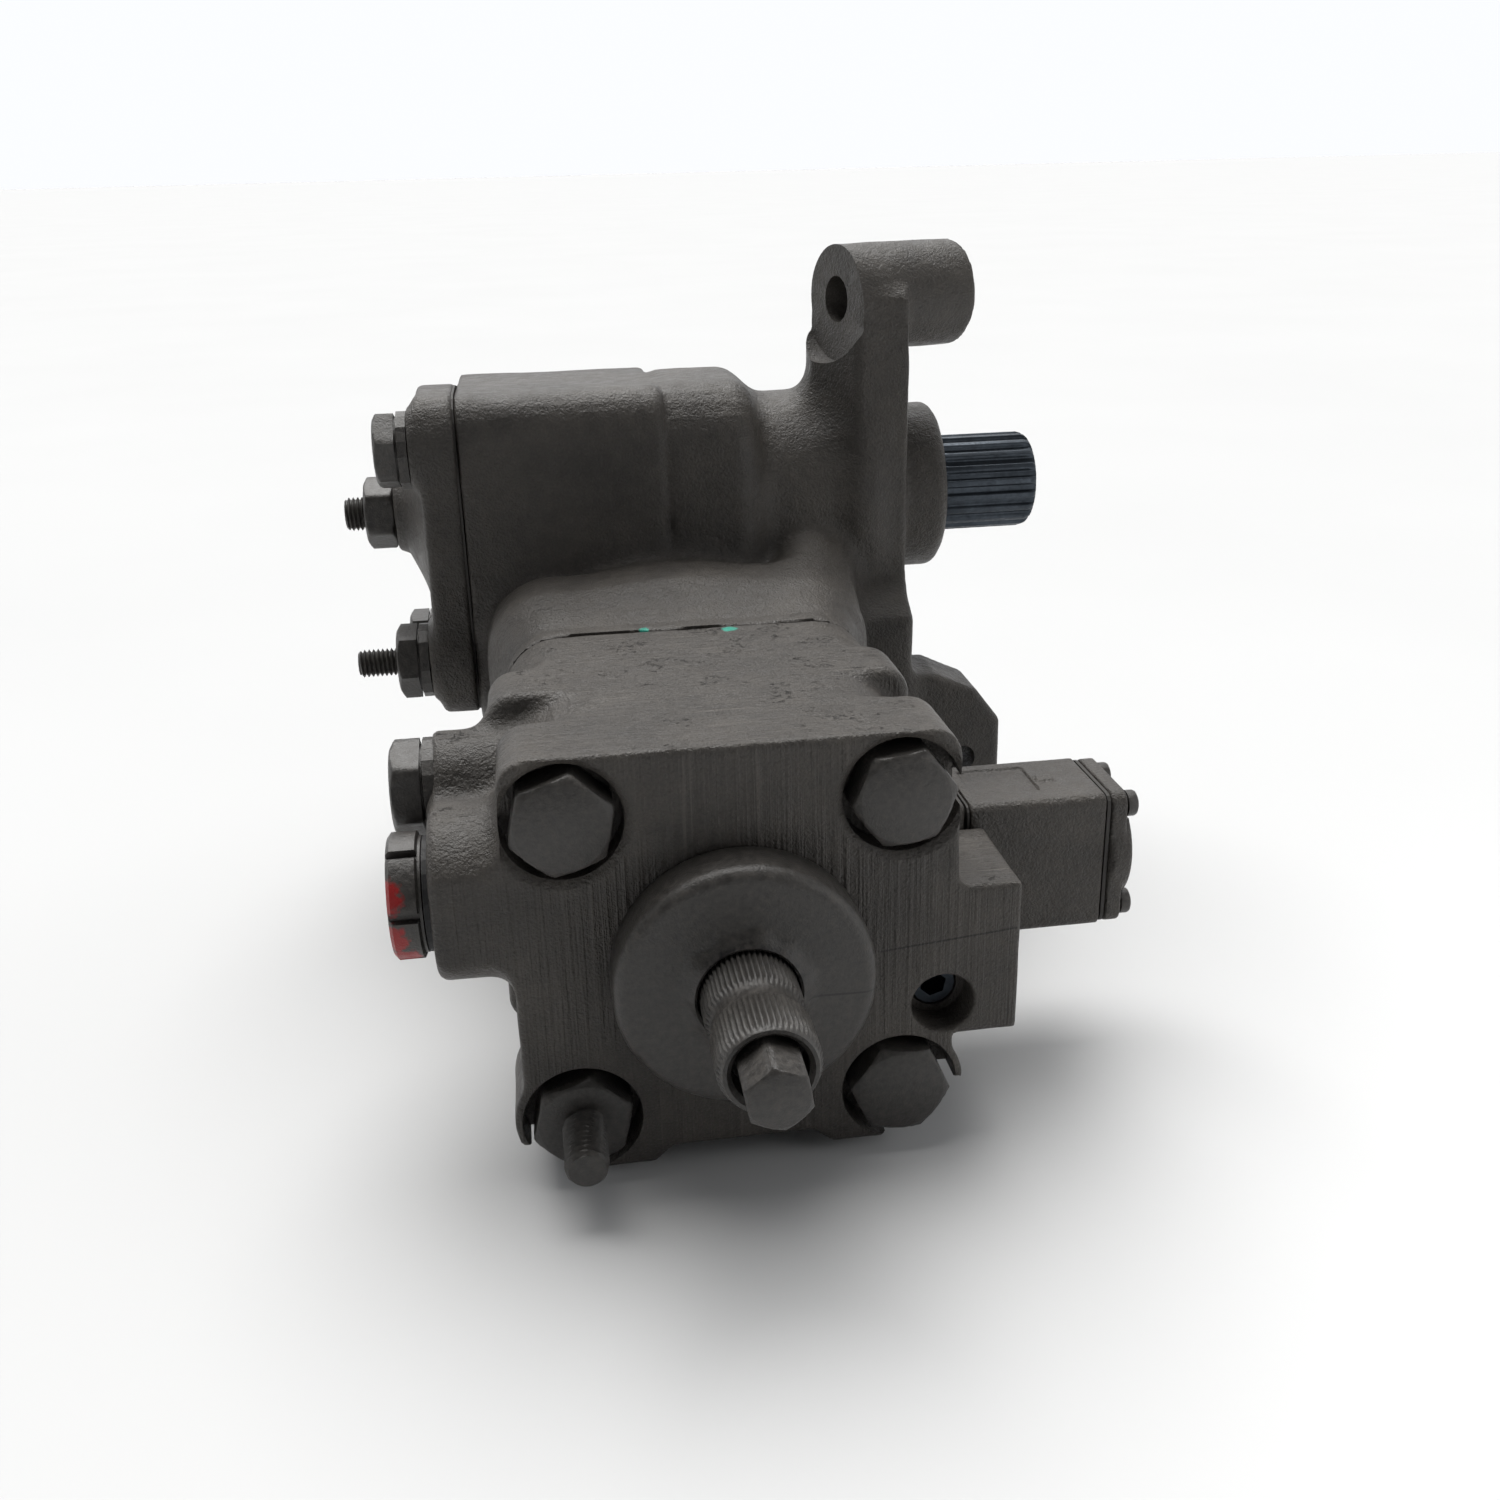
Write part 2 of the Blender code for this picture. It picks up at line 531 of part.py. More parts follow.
COVER_EDGE = 4 * MM
seal_cover = [(12.8 * MM, -14.6 * MM), (29.3 * MM, -14.6 * MM)]
seal_cover += [(29.3 * MM + COVER_EDGE * sin(angle), -10.6 * MM - COVER_EDGE * cos(angle))
               for angle in (pi / 6, pi / 3, pi / 2)]
seal_cover += [(33.3 * MM, -GAP), (24 * MM, -GAP), (24 * MM, -11 * MM), (12.8 * MM, -11 * MM)]
piece(turned("input_seal_cover", seal_cover, "Y", (0, 0), 36), PAINTED_CAST)
piece(ring("input_shaft_seal", 12.75 * MM, 23.6 * MM, -10.6 * MM, -4 * MM, "Y", (0, 0)), BLACK_RUBBER)
piece(ring("input_shaft_bearing", 12.75 * MM, 15.6 * MM, 1 * MM, 13 * MM, "Y", (0, 0)), BRIGHT_STEEL)

input_profile = [(5.3 * MM, -41 * MM), (9.2 * MM, -41 * MM), (9.2 * MM, -49.5 * MM), (9.6 * MM, -50 * MM),
                 (10.6 * MM, -50 * MM), (12.4 * MM, -46 * MM), (12.4 * MM, -36.5 * MM), (10.9 * MM, -34 * MM),
                 (10.9 * MM, -30 * MM), (12.4 * MM, -27.5 * MM), (12.4 * MM, 15 * MM), (13.6 * MM, 16 * MM),
                 (13.6 * MM, 80 * MM), (5.3 * MM, 80 * MM)]
piece(turned("input_shaft", input_profile, "Y", (0, 0)), PAINTED_BOLT, input_axis)
bar_head = (Y_FRONT, -42 * MM)
torsion_bar = hex_bolt("torsion_bar", 14.6 * MM, bar_head, 4.8 * MM, 103 * MM, "Y", (0, 0), radians(20))
piece(torsion_bar, PAINTED_BOLT, input_axis)

WORM_RINGS = {"valve_sleeve": (14.1 * MM, 21 * MM, 16.5 * MM, 81.5 * MM),
              "front_thrust_bearing": (21.6 * MM, 29.4 * MM, 83 * MM, 87.6 * MM),
              "rear_thrust_bearing": (16 * MM, 29.4 * MM, 93.4 * MM, 98.7 * MM)}
for name, sizes in WORM_RINGS.items():
    piece(ring(name, *sizes, "Y", (0, 0)), BRIGHT_STEEL, worm_axis)


def worm_thread():
    """The worm's ball track: one lead of its profile swept along a right-hand helix, with closed ends."""
    half = WORM_LEAD / 2
    profile = [(WORM_RADIUS, half), (WORM_RADIUS, 3.9 * MM), (WORM_ROOT_RADIUS, 2.6 * MM),
               (WORM_ROOT_RADIUS, -2.6 * MM), (WORM_RADIUS, -3.9 * MM), (WORM_RADIUS, -half)]
    mesh = bpy.data.meshes.new("worm_thread")
    mesh.from_pydata([(radius, 0, height) for radius, height in profile],
                     [(i, i + 1) for i in range(len(profile) - 1)], [])
    shape = bpy.data.objects.new("worm_thread", mesh)
    first_turn = ceil(WORM_START / WORM_LEAD)
    shape.location = (0, first_turn * WORM_LEAD, 0)
    shape.rotation_euler = TURN_ALONG["Y"]
    screw = shape.modifiers.new("Thread", "SCREW")
    screw.screw_offset = WORM_LEAD
    screw.iterations = WORM_TURNS
    screw.steps = 12
    screw.render_steps = 12
    screw.use_merge_vertices = False
    thread = mesh_of(shape)
    working = bmesh.new()
    working.from_mesh(thread.data)
    open_edges = [edge for edge in working.edges if edge.is_boundary]
    for end in (0, WORM_LEAD * WORM_TURNS):
        centre = working.verts.new((0, 0, end))
        for edge in open_edges:
            middle = (edge.verts[0].co.z + edge.verts[1].co.z) / 2
            if abs(middle - end) <= WORM_LEAD * 1.05:
                working.faces.new((centre, edge.verts[0], edge.verts[1]))
    bmesh.ops.recalc_face_normals(working, faces=working.faces)
    working.to_mesh(thread.data)
    working.free()
    return thread


worm_body = [(5.2 * MM, 84.5 * MM), (20.8 * MM, 84.5 * MM), (20.8 * MM, 88 * MM), (27 * MM, 88 * MM),
             (27 * MM, 93 * MM), (15 * MM, 93 * MM), (15 * MM, 117.5 * MM), (0, 117.5 * MM),
             (0, 106 * MM), (5.2 * MM, 106 * MM)]
worm = turned("worm_shaft", worm_body, "Y", (0, 0), 24)
boolean(worm, "UNION", [worm_thread()])
piece(worm, BRIGHT_STEEL, worm_axis)

# ------------------------------------------------------ piston, balls, sector

def rack_piston():
    """The power piston: rack on its top, ball nut bored from the front."""
    pitch_height = SECTOR_Z - PITCH_RADIUS
    top = pitch_height + ADDENDUM
    bottom = pitch_height - ADDENDUM - ROOT_CLEARANCE
    over = top + 2 * MM
    spaces = []
    for tooth in SECTOR_TEETH:
        middle = SECTOR_Y + tooth * RACK_PITCH
        low_half, high_half = [RACK_PITCH / 4 + HALF_BACKLASH + (height - pitch_height) * tan(PRESSURE_ANGLE)
                               for height in (bottom, over)]
        outline = [(middle - low_half, bottom), (middle + low_half, bottom),
                   (middle + high_half, over), (middle - high_half, over)]
        spaces.append(extruded("rack_space", outline, -60 * MM, 60 * MM, "X"))
    piston = cylinder("rack_piston", PISTON_RADIUS, PISTON_FRONT, PISTON_REAR, "Y", (0, 0), BORE_STEPS)
    flat_low = (-60 * MM, SECTOR_Y - RACK_FLAT_HALF, top)
    flat_high = (60 * MM, SECTOR_Y + RACK_FLAT_HALF, 70 * MM)
    return boolean(piston, "DIFFERENCE", [
        box("rack_flat", flat_low, flat_high),
        *spaces,
        cylinder("nut_bore", NUT_RADIUS, 130 * MM, 246 * MM, "Y", (0, 0), 24),
        ring("seal_groove", 46.8 * MM, 60 * MM, 250 * MM, 254.6 * MM, "Y", (0, 0), BORE_STEPS),
        box("guide_slot", (-8 * MM, 144 * MM, -60 * MM), (8 * MM, 184 * MM, -14 * MM)),
    ])


def sector_outline():
    """Hub and involute teeth of the sector, in Y and Z, with the middle tooth pointing down at the rack."""
    base_radius = PITCH_RADIUS * cos(PRESSURE_ANGLE)
    tip_radius = PITCH_RADIUS + ADDENDUM
    tooth_angle = RACK_PITCH / PITCH_RADIUS

    def flank_angle(radius):
        roll = acos(min(1, base_radius / max(radius, base_radius)))
        at_pitch = (RACK_PITCH / 4 - HALF_BACKLASH) / PITCH_RADIUS
        return at_pitch + tan(PRESSURE_ANGLE) - PRESSURE_ANGLE - (tan(roll) - roll)

    radii = [SECTOR_ROOT_RADIUS] + [base_radius + (tip_radius - base_radius) * step / 4 for step in range(5)]
    polar = []
    for tooth in SECTOR_TEETH:
        middle = tooth * tooth_angle
        polar += [(radius, middle - flank_angle(radius)) for radius in radii]
        polar += [(radius, middle + flank_angle(radius)) for radius in reversed(radii)]
    hub_start = polar[-1][1]
    hub_sweep = 2 * pi - 2 * hub_start
    polar += [(SECTOR_ROOT_RADIUS, hub_start + hub_sweep * step / 14) for step in range(1, 14)]
    return [(SECTOR_Y + radius * sin(angle), SECTOR_Z - radius * cos(angle)) for radius, angle in polar]


piece(rack_piston(), BRIGHT_STEEL, piston_axis)
piston_seal = ring("piston_seal_ring", 47.1 * MM, 50.7 * MM, 250.4 * MM, 254.2 * MM, "Y", (0, 0), BORE_STEPS)
piece(piston_seal, BLACK_RUBBER, piston_axis)
ball_row_start = (0, ceil(BALL_START / WORM_LEAD) * WORM_LEAD, 0)
ball_points = helix(BALL_CIRCLE_RADIUS, WORM_LEAD, BALL_TURNS, 16, WORM_LEAD / 4)
ball_row = wire("ball_train", ball_points, BALL_RADIUS, ball_row_start, TURN_ALONG["Y"])
piece(ball_row, BRIGHT_STEEL, piston_axis)
guide_low, guide_high = -38 * MM, -20.5 * MM
guide_near, guide_far = 151 * MM, 177 * MM
guide_side = [(0, guide_high), (0, guide_low + 6 * MM), (2 * MM, guide_low + 2 * MM), (6 * MM, guide_low)]
guide_points = [(0, guide_near + inward, height) for inward, height in guide_side]
guide_points += [(0, guide_far - inward, height) for inward, height in reversed(guide_side)]
piece(wire("ball_return_guide", guide_points, 3.6 * MM, (0, 0, 0)), BRIGHT_STEEL, piston_axis)


def spline_outline(outer, inner, teeth):
    """Straight-sided spline section, centred on the local origin."""
    outline = []
    for tooth in range(teeth):
        middle = 2 * pi * tooth / teeth
        quarter = pi / teeth
        outline += [(inner, middle - quarter * 0.95), (outer, middle - quarter * 0.6),
                    (outer, middle + quarter * 0.6), (inner, middle + quarter * 0.95)]
    return [(radius * cos(angle), radius * sin(angle)) for radius, angle in outline]


def sector_shaft():
    """Output shaft with its sector gear and splined end."""
    centre = (SECTOR_Y, SECTOR_Z)
    body = [(0, -74 * MM), (9.5 * MM, -74 * MM), (9.5 * MM, -83 * MM), (15 * MM, -83 * MM), (15 * MM, -23 * MM),
            (SHAFT_RADIUS, -20 * MM), (SHAFT_RADIUS, COLLAR_END), (15.4 * MM, SPLINE_START),
            (15.4 * MM, X_RIGHT), (0, X_RIGHT)]
    shaft = turned("sector_shaft", body, "X", centre)
    teeth = spline_outline(17.15 * MM, 15.6 * MM, SPLINE_TEETH)
    spline = extruded("spline", teeth, SPLINE_START, SPLINE_END, "X")
    spline.location += Vector((0, *centre))
    gear = extruded("sector_gear", sector_outline(), -SECTOR_HALF_WIDTH, SECTOR_HALF_WIDTH, "X")
    return boolean(shaft, "UNION", [gear, spline])


piece(sector_shaft(), DARK_STEEL, sector_axis)
sector_line = (SECTOR_Y, SECTOR_Z)
shaft_clear = SHAFT_RADIUS + GAP
piece(ring("sector_shaft_bearing", shaft_clear, 20.7 * MM, 40 * MM, 70 * MM, "X", sector_line), BRIGHT_STEEL)
piece(ring("sector_pressure_seal", shaft_clear, 20.7 * MM, 73 * MM, 81 * MM, "X", sector_line), BLACK_RUBBER)
piece(ring("seal_retaining_ring", 18.4 * MM, 20.7 * MM, 81.6 * MM, 83.2 * MM, "X", sector_line), SPRING_STEEL)
dust_seal = [(shaft_clear, 90 * MM), (23.7 * MM, 90 * MM), (23.7 * MM, 99.2 * MM), (22.9 * MM, 99.8 * MM),
             (18.2 * MM, 99.8 * MM), (shaft_clear, 99.4 * MM)]
piece(turned("sector_dust_seal", dust_seal, "X", sector_line), BLACK_RUBBER)

# ------------------------------------------------------------------ side cover

def side_cover():
    """Cover over the sector box, with the adjuster's boss and four bolt bosses."""
    cover = extruded("side_cover", cover_outline(), COVER_OUTER_X, COVER_INNER_X, "X")
    hub = [(0, -70 * MM), (31 * MM, -70 * MM), (31 * MM, COVER_OUTER_X), (24 * MM, -82.5 * MM),
           (14 * MM, -87 * MM), (13 * MM, -90.5 * MM), (0, -90.5 * MM)]
    boolean(cover, "UNION", [
        turned("cover_hub", hub, "X", sector_line),
        *[cylinder("cover_boss", 13.3 * MM, COVER_BOSS_X, -70 * MM, "X", centre, 16)
          for centre in COVER_BOLTS],
    ])
    return boolean(cover, "DIFFERENCE", [
        cylinder("cover_bearing_bore", 19.1 * MM, -84.5 * MM, -60 * MM, "X", sector_line, 24),
        cylinder("adjuster_thread", 6.4 * MM, -95 * MM, -80 * MM, "X", sector_line, 12),
        *[cylinder("cover_bolt_hole", COVER_HOLE_RADIUS, -90 * MM, -60 * MM, "X", centre, 12)
          for centre in COVER_BOLTS],
    ])


piece(side_cover(), PAINTED_CAST)
gasket = extruded("side_cover_gasket", cover_outline(0.5 * MM), COVER_INNER_X + GAP, COVER_JOINT_X - GAP, "X")
gasket_hole = 7.5 * MM
boolean(gasket, "DIFFERENCE", [
    cylinder("gasket_opening", 42 * MM, -75 * MM, -60 * MM, "X", sector_line, 24),
    *[cylinder("gasket_bolt_hole", gasket_hole, -75 * MM, -60 * MM, "X", centre, 12)
      for centre in COVER_BOLTS[2:]],
    *[box("gasket_bolt_slot", (-75 * MM, y - gasket_hole, z - 12 * MM),
          (-60 * MM, y + gasket_hole, z + gasket_hole)) for y, z in COVER_BOLTS[:2]],
])
piece(gasket, GASKET_FIBRE)
for number, (centre, turn) in enumerate(zip(COVER_BOLTS, COVER_BOLT_TURNS), 1):
    is_stud = centre == COVER_BOLTS[-1]
    name = "cover_stud_bolt" if is_stud else f"cover_bolt_{number}"
    head = (-92.6 * MM, -85.2 * MM)
    stud = (4.8 * MM, -106 * MM) if is_stud else None
    bolt = hex_bolt(name, COVER_BOLT_FLATS, head, COVER_SHANK_RADIUS, -54 * MM, "X", centre, turn, stud)
    piece(bolt, PAINTED_BOLT)
    washer = ring(f"cover_washer_{number}", 7.3 * MM, 12.6 * MM, -84.9 * MM, -81.8 * MM, "X", centre, 16)
    piece(washer, PAINTED_BOLT)

cover_bearing = ring("sector_cover_bearing", 15.3 * MM, 18.7 * MM, -83 * MM, -64.5 * MM, "X", sector_line)
piece(cover_bearing, BRIGHT_STEEL)
adjuster = [(0, X_LEFT), (4.9 * MM, X_LEFT), (5.9 * MM, -107.3 * MM), (5.9 * MM, -79.5 * MM),
            (8.8 * MM, -79.5 * MM), (8.8 * MM, -75 * MM), (0, -75 * MM)]
piece(turned("adjuster_screw", adjuster, "X", sector_line, 12), DARK_STEEL)
retainer = ring("adjuster_retaining_ring", 6.5 * MM, 9.2 * MM, -82 * MM, -80.4 * MM, "X", sector_line, 16)
piece(retainer, SPRING_STEEL, sector_axis)
nut_radius = hex_radius(COVER_BOLT_FLATS)
jam_nut = cylinder("adjuster_jam_nut", nut_radius, -101.2 * MM, -90.8 * MM, "X", sector_line, 6, radians(8))
nut_thread = cylinder("jam_nut_thread", 6.4 * MM, -110 * MM, -85 * MM, "X", sector_line, 12)
piece(boolean(jam_nut, "DIFFERENCE", [nut_thread]), PAINTED_BOLT)

# ------------------------------------------------------------------ left ports

CAP_RADIUS = 16.3 * MM
CAP_OUTER, CAP_INNER = -86.5 * MM, -77.9 * MM
CAP_SLOTS = 6
cap_profile = [(0, CAP_OUTER), (14.6 * MM, CAP_OUTER), (CAP_RADIUS, -85.3 * MM), (CAP_RADIUS, CAP_INNER),
               (8.7 * MM, CAP_INNER), (8.7 * MM, -60 * MM), (0, -60 * MM)]
relief_cap = turned("relief_valve_cap", cap_profile, "X", RELIEF_AXIS)
slots = []
for index in range(CAP_SLOTS):
    slot_angle = radians(176) - 2 * pi * index / CAP_SLOTS
    slot = box("cap_slot", (-8 * MM, -2 * MM, -0.9 * MM), (8 * MM, 2 * MM, 0.9 * MM))
    across, up = CAP_RADIUS * cos(slot_angle), CAP_RADIUS * sin(slot_angle)
    slot.location = (-83 * MM, RELIEF_AXIS[0] + across, RELIEF_AXIS[1] + up)
    slot.rotation_euler = (slot_angle, 0, 0)
    slots.append(slot)
piece(boolean(relief_cap, "DIFFERENCE", slots), PAINTED_BOLT)
cap_seal = ring("relief_cap_seal", 9.3 * MM, 14.8 * MM, CAP_INNER + GAP, -76.1 * MM, "X", RELIEF_AXIS, 24)
piece(cap_seal, BLACK_RUBBER)
relief_spring = coil_spring("relief_spring", 5 * MM, 0.7 * MM, -59.5 * MM, -45.2 * MM, 4, "X", RELIEF_AXIS)
piece(relief_spring, SPRING_STEEL)
poppet = [(0, -44.9 * MM), (6.8 * MM, -44.9 * MM), (6.8 * MM, -41 * MM), (4 * MM, -41 * MM),
          (4 * MM, -36 * MM), (0, -32.6 * MM)]
piece(turned("relief_poppet", poppet, "X", RELIEF_AXIS, 16), BRIGHT_STEEL, relief_axis)

plug_head = (-86 * MM, -77.5 * MM)
port_plug = hex_bolt("hex_port_plug", 24 * MM, plug_head, 7.7 * MM, -56 * MM, "X", PLUG_AXIS, radians(14))
piece(port_plug, PAINTED_BOLT)
piece(ring("port_plug_washer", 8.3 * MM, 13.6 * MM, -77.2 * MM, -73.9 * MM, "X", PLUG_AXIS, 20), PAINTED_BOLT)

socket_plug = cylinder("socket_plug", 5.9 * MM, 10.3 * MM, 31 * MM, "Y", SOCKET_AXIS, 16)
plug_socket = cylinder("plug_socket", hex_radius(6.5 * MM), 5 * MM, 17 * MM, "Y", SOCKET_AXIS, 6, radians(12))
piece(boolean(socket_plug, "DIFFERENCE", [plug_socket]), DARK_STEEL)

# ------------------------------------------------------------- auxiliary valve

AUX_LOW, AUX_HIGH = (36.2 * MM, -20 * MM), (67.5 * MM, 21.3 * MM)
AUX_BODY_X = (71.2 * MM, 111 * MM)
AUX_CAP_X = (112.6 * MM, 118 * MM)
AUX_SCREW_INSET = 5 * MM
AUX_SCREWS = [(y, z) for y in (AUX_LOW[0] + AUX_SCREW_INSET, AUX_HIGH[0] - AUX_SCREW_INSET)
              for z in (AUX_LOW[1] + AUX_SCREW_INSET, AUX_HIGH[1] - AUX_SCREW_INSET)]


def aux_section(inset, radius):
    """Section of the auxiliary valve in Y and Z."""
    low_y, low_z = AUX_LOW[0] + inset, AUX_LOW[1] + inset
    high_y, high_z = AUX_HIGH[0] - inset, AUX_HIGH[1] - inset
    corners = [(low_y, low_z), (high_y, low_z), (high_y, high_z), (low_y, high_z)]
    return rounded([(*corner, radius) for corner in corners], 3)


aux_body = extruded("auxiliary_valve_body", aux_section(0, 3 * MM), *AUX_BODY_X, "X")
boolean(aux_body, "DIFFERENCE", [
    cylinder("spool_bore", 7 * MM, 76 * MM, 120 * MM, "X", AUX_AXIS, 16),
    cylinder("aux_passage", 2 * MM, 60 * MM, 80 * MM, "X", AUX_AXIS, 10),
    *[cylinder("aux_thread", 2.3 * MM, 95 * MM, 120 * MM, "X", centre, 10) for centre in AUX_SCREWS],
])
piece(aux_body, PAINTED_CAST)
mount_gasket = extruded("auxiliary_mount_gasket", aux_section(0.5 * MM, 3 * MM), 70.3 * MM, 70.9 * MM, "X")
mount_passage = cylinder("mount_passage", 2.5 * MM, 60 * MM, 80 * MM, "X", AUX_AXIS, 10)
piece(boolean(mount_gasket, "DIFFERENCE", [mount_passage]), GASKET_FIBRE)
gasket_x = (AUX_BODY_X[1] + GAP, AUX_CAP_X[0] - GAP)
end_gasket = extruded("auxiliary_end_gasket", aux_section(0.4 * MM, 3 * MM), *gasket_x, "X")
aux_cap = extruded("auxiliary_end_cap", aux_section(0, 4 * MM), *AUX_CAP_X, "X")
for target, reach in ((end_gasket, "gasket"), (aux_cap, "cap")):
    boolean(target, "DIFFERENCE", [cylinder(f"aux_{reach}_hole", 2.3 * MM, 100 * MM, 130 * MM, "X", centre, 10)
                                   for centre in AUX_SCREWS])
end_opening = cylinder("end_gasket_opening", 7.5 * MM, 100 * MM, 130 * MM, "X", AUX_AXIS, 16)
boolean(end_gasket, "DIFFERENCE", [end_opening])
piece(end_gasket, GASKET_FIBRE)
piece(aux_cap, PAINTED_CAST)
for number, centre in enumerate(AUX_SCREWS, 1):
    screw_profile = [(0, 97 * MM), (1.9 * MM, 97 * MM), (1.9 * MM, 118.3 * MM), (3.8 * MM, 118.3 * MM),
                     (3.8 * MM, 120.6 * MM), (3.2 * MM, 121.4 * MM), (0, 121.4 * MM)]
    piece(turned(f"auxiliary_screw_{number}", screw_profile, "X", centre, 12), PAINTED_BOLT)
spool_profile = [(0, 79 * MM), (6.7 * MM, 79 * MM), (6.7 * MM, 85 * MM), (4.5 * MM, 86 * MM),
                 (4.5 * MM, 91 * MM), (6.7 * MM, 92 * MM), (6.7 * MM, 98 * MM), (0, 98 * MM)]
piece(turned("auxiliary_spool", spool_profile, "X", AUX_AXIS, 16), BRIGHT_STEEL, spool_axis)
spool_spring = coil_spring("auxiliary_spring", 4.4 * MM, 0.6 * MM, 98.3 * MM, 112.2 * MM, 4, "X", AUX_AXIS)
piece(spool_spring, SPRING_STEEL)
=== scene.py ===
"""Looks for the power steering gear: castings, machined faces, threads, serrations and paint.

Sizes are in millimetres in the gear's own layout, where the input shaft turns about the Y axis, the valve
housing's front face is at Y = 0 and the sector shaft lies along X. Finished meshes are moved onto the frame.
"""
import json
from math import atan2, ceil, cos, pi, radians, sin, sqrt, tan

import bmesh
import bpy
import numpy as np
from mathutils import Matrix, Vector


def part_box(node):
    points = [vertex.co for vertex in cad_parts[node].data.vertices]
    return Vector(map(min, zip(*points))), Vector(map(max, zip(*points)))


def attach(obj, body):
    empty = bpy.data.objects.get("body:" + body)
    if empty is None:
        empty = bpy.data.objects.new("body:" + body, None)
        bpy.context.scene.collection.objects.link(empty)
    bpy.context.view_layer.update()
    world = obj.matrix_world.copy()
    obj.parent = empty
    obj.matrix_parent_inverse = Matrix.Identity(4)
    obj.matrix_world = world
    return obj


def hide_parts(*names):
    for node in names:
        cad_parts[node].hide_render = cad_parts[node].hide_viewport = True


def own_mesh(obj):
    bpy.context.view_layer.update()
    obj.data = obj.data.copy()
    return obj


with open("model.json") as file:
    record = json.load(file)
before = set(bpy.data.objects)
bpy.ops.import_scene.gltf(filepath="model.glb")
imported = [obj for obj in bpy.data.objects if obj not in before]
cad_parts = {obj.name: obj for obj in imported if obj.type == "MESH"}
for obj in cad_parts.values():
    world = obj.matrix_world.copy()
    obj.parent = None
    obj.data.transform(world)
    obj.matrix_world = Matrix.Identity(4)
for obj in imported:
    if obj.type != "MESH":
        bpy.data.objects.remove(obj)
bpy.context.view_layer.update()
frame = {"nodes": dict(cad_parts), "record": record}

import openvdb
from mathutils import Matrix, Vector

MM = 0.001
# The layout's origin and the sector shaft's axis (Y, Z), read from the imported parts.
input_low, input_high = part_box("input_shaft")
LAYOUT = Vector(((input_low[0] + input_high[0]) / 2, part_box("valve_housing")[0][1],
                 (input_low[2] + input_high[2]) / 2))
sector_low, sector_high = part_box("sector_pressure_seal")
SECTOR = ((sector_low[1] + sector_high[1]) / 2 / MM - LAYOUT.y / MM,
          (sector_low[2] + sector_high[2]) / 2 / MM - LAYOUT.z / MM)

# Axes of round parts: (X, Z) for those that point along Y, (Y, Z) for those that point along X.
INPUT = (0.0, 0.0)
RELIEF = (19.0, 18.0)
PLUG = (46.0, 36.0)
SOCKET = (54.0, -18.1)
AUX = (51.85, 0.65)
LUG_HOLE = (103, -12.5)
VALVE_BOLTS = [(-42.5, 42.5), (42.5, 42.5), (42.5, -42.5), (-42.5, -42.5)]
COVER_BOLTS = [(167.0, 105.0), (238.5, 93.0), (226.0, 22.0), (167.0, 33.5)]
AUX_SCREWS = [(y, z) for y in (41.2, 62.5) for z in (-15.0, 16.3)]
# Hose ports in the underside: (X, Y) of the axis and radius at the mouth.
PORTS = [((-16, 60), 9), ((16, 60), 10.5)]

# The mounting ear: its near end, its turn about Z and how far it reaches.
EAR_CENTRE = Vector((63.0, 182.0, 146.0))
EAR_YAW = radians(18)
EAR_AXIS = Vector((cos(EAR_YAW), sin(EAR_YAW), 0))
EAR_LENGTH = 45.0
EAR_RADIUS, EAR_BORE, EAR_FACE = 17.6, 7.5, 20.6

# Faces of the castings.
HOUSING_TOP = 59.75
WEB_RIGHT = 84.4
COLLAR_END = 101.3
JOINT_Y = 98.0
FOOT_Z = -62.0
COVER_FACE = -66.9
BARREL_RADIUS, BARREL_BORE, BARREL_REAR = 66, 51.1, 303.7
SEAL_SEAT_RADIUS, SEAL_SEAT_START = 24, 89

# Hex fasteners: across flats, shank radius and hole radius.
VALVE_BOLT_FLATS, VALVE_BOLT_SHANK, VALVE_BOLT_HOLE = 24, 7.9, 8.6
COVER_BOLT_FLATS, COVER_BOLT_SHANK, COVER_BOLT_HOLE = 22, 6.7, 7.4
PORT_PLUG_FLATS, PORT_PLUG_SHANK, PORT_PLUG_HOLE = 24, 7.7, 8.2
# Where each bolt's head is seated, where the head's face is and where the shank ends.
VALVE_BOLT_SEAT, VALVE_BOLT_FACE, VALVE_BOLT_END = 9.2, -2.6, 126
COVER_BOLT_SEAT, COVER_BOLT_FACE, COVER_BOLT_END = -85.2, -92.6, -54
PORT_PLUG_SEAT, PORT_PLUG_FACE, PORT_PLUG_END = -77.5, -86, -56
# Radii of the valve bolts' counterbores, and of their rims on the upper and the lower bolts.
COUNTERBORE, WIDE_RIM, NARROW_RIM = 15.4, 17.4, 15.8
# The thin lips beside the two lower bolts: outer radius, and how low each reaches.
LIP_RADIUS, LIP_ENDS = 17.6, (-42, -49)
# The torsion bar's hex end.
BAR_FLATS, BAR_END = 14.6, -61.2
# Turn of each hex head, in degrees.
VALVE_BOLT_TURNS = (18, 7, 54, 17)
COVER_BOLT_TURNS = (39, 20, 5, 10)

# Studs beyond a bolt's head, as (radius, pitch, tip).
VALVE_STUD = (5.8, 2.0, -21.5)
COVER_STUD = (4.8, 1.5, -106)

# The output shaft's spline and the input shaft's serrations.
SHAFT_END, SPLINE_RADIUS, SPLINE_DEPTH, SPLINE_TEETH = 137.5, 17.15, 1.75, 20
SERRATION_RADIUS, SERRATION_DEPTH, SERRATION_TEETH = 12.4, 0.75, 54

# How finely arcs are drawn, and the distance that a field holds before a shape is added.
ARC_STEPS = 6
FAR = 50

# Camera: place in the layout, its turns and its lens in millimetres.
CAMERA_PLACE = (-43.1, -329.9, 191.2)
CAMERA_YAW, CAMERA_PITCH, CAMERA_ROLL = radians(8.119), radians(21.754), radians(-1.371)
CAMERA_LENS = 35.668

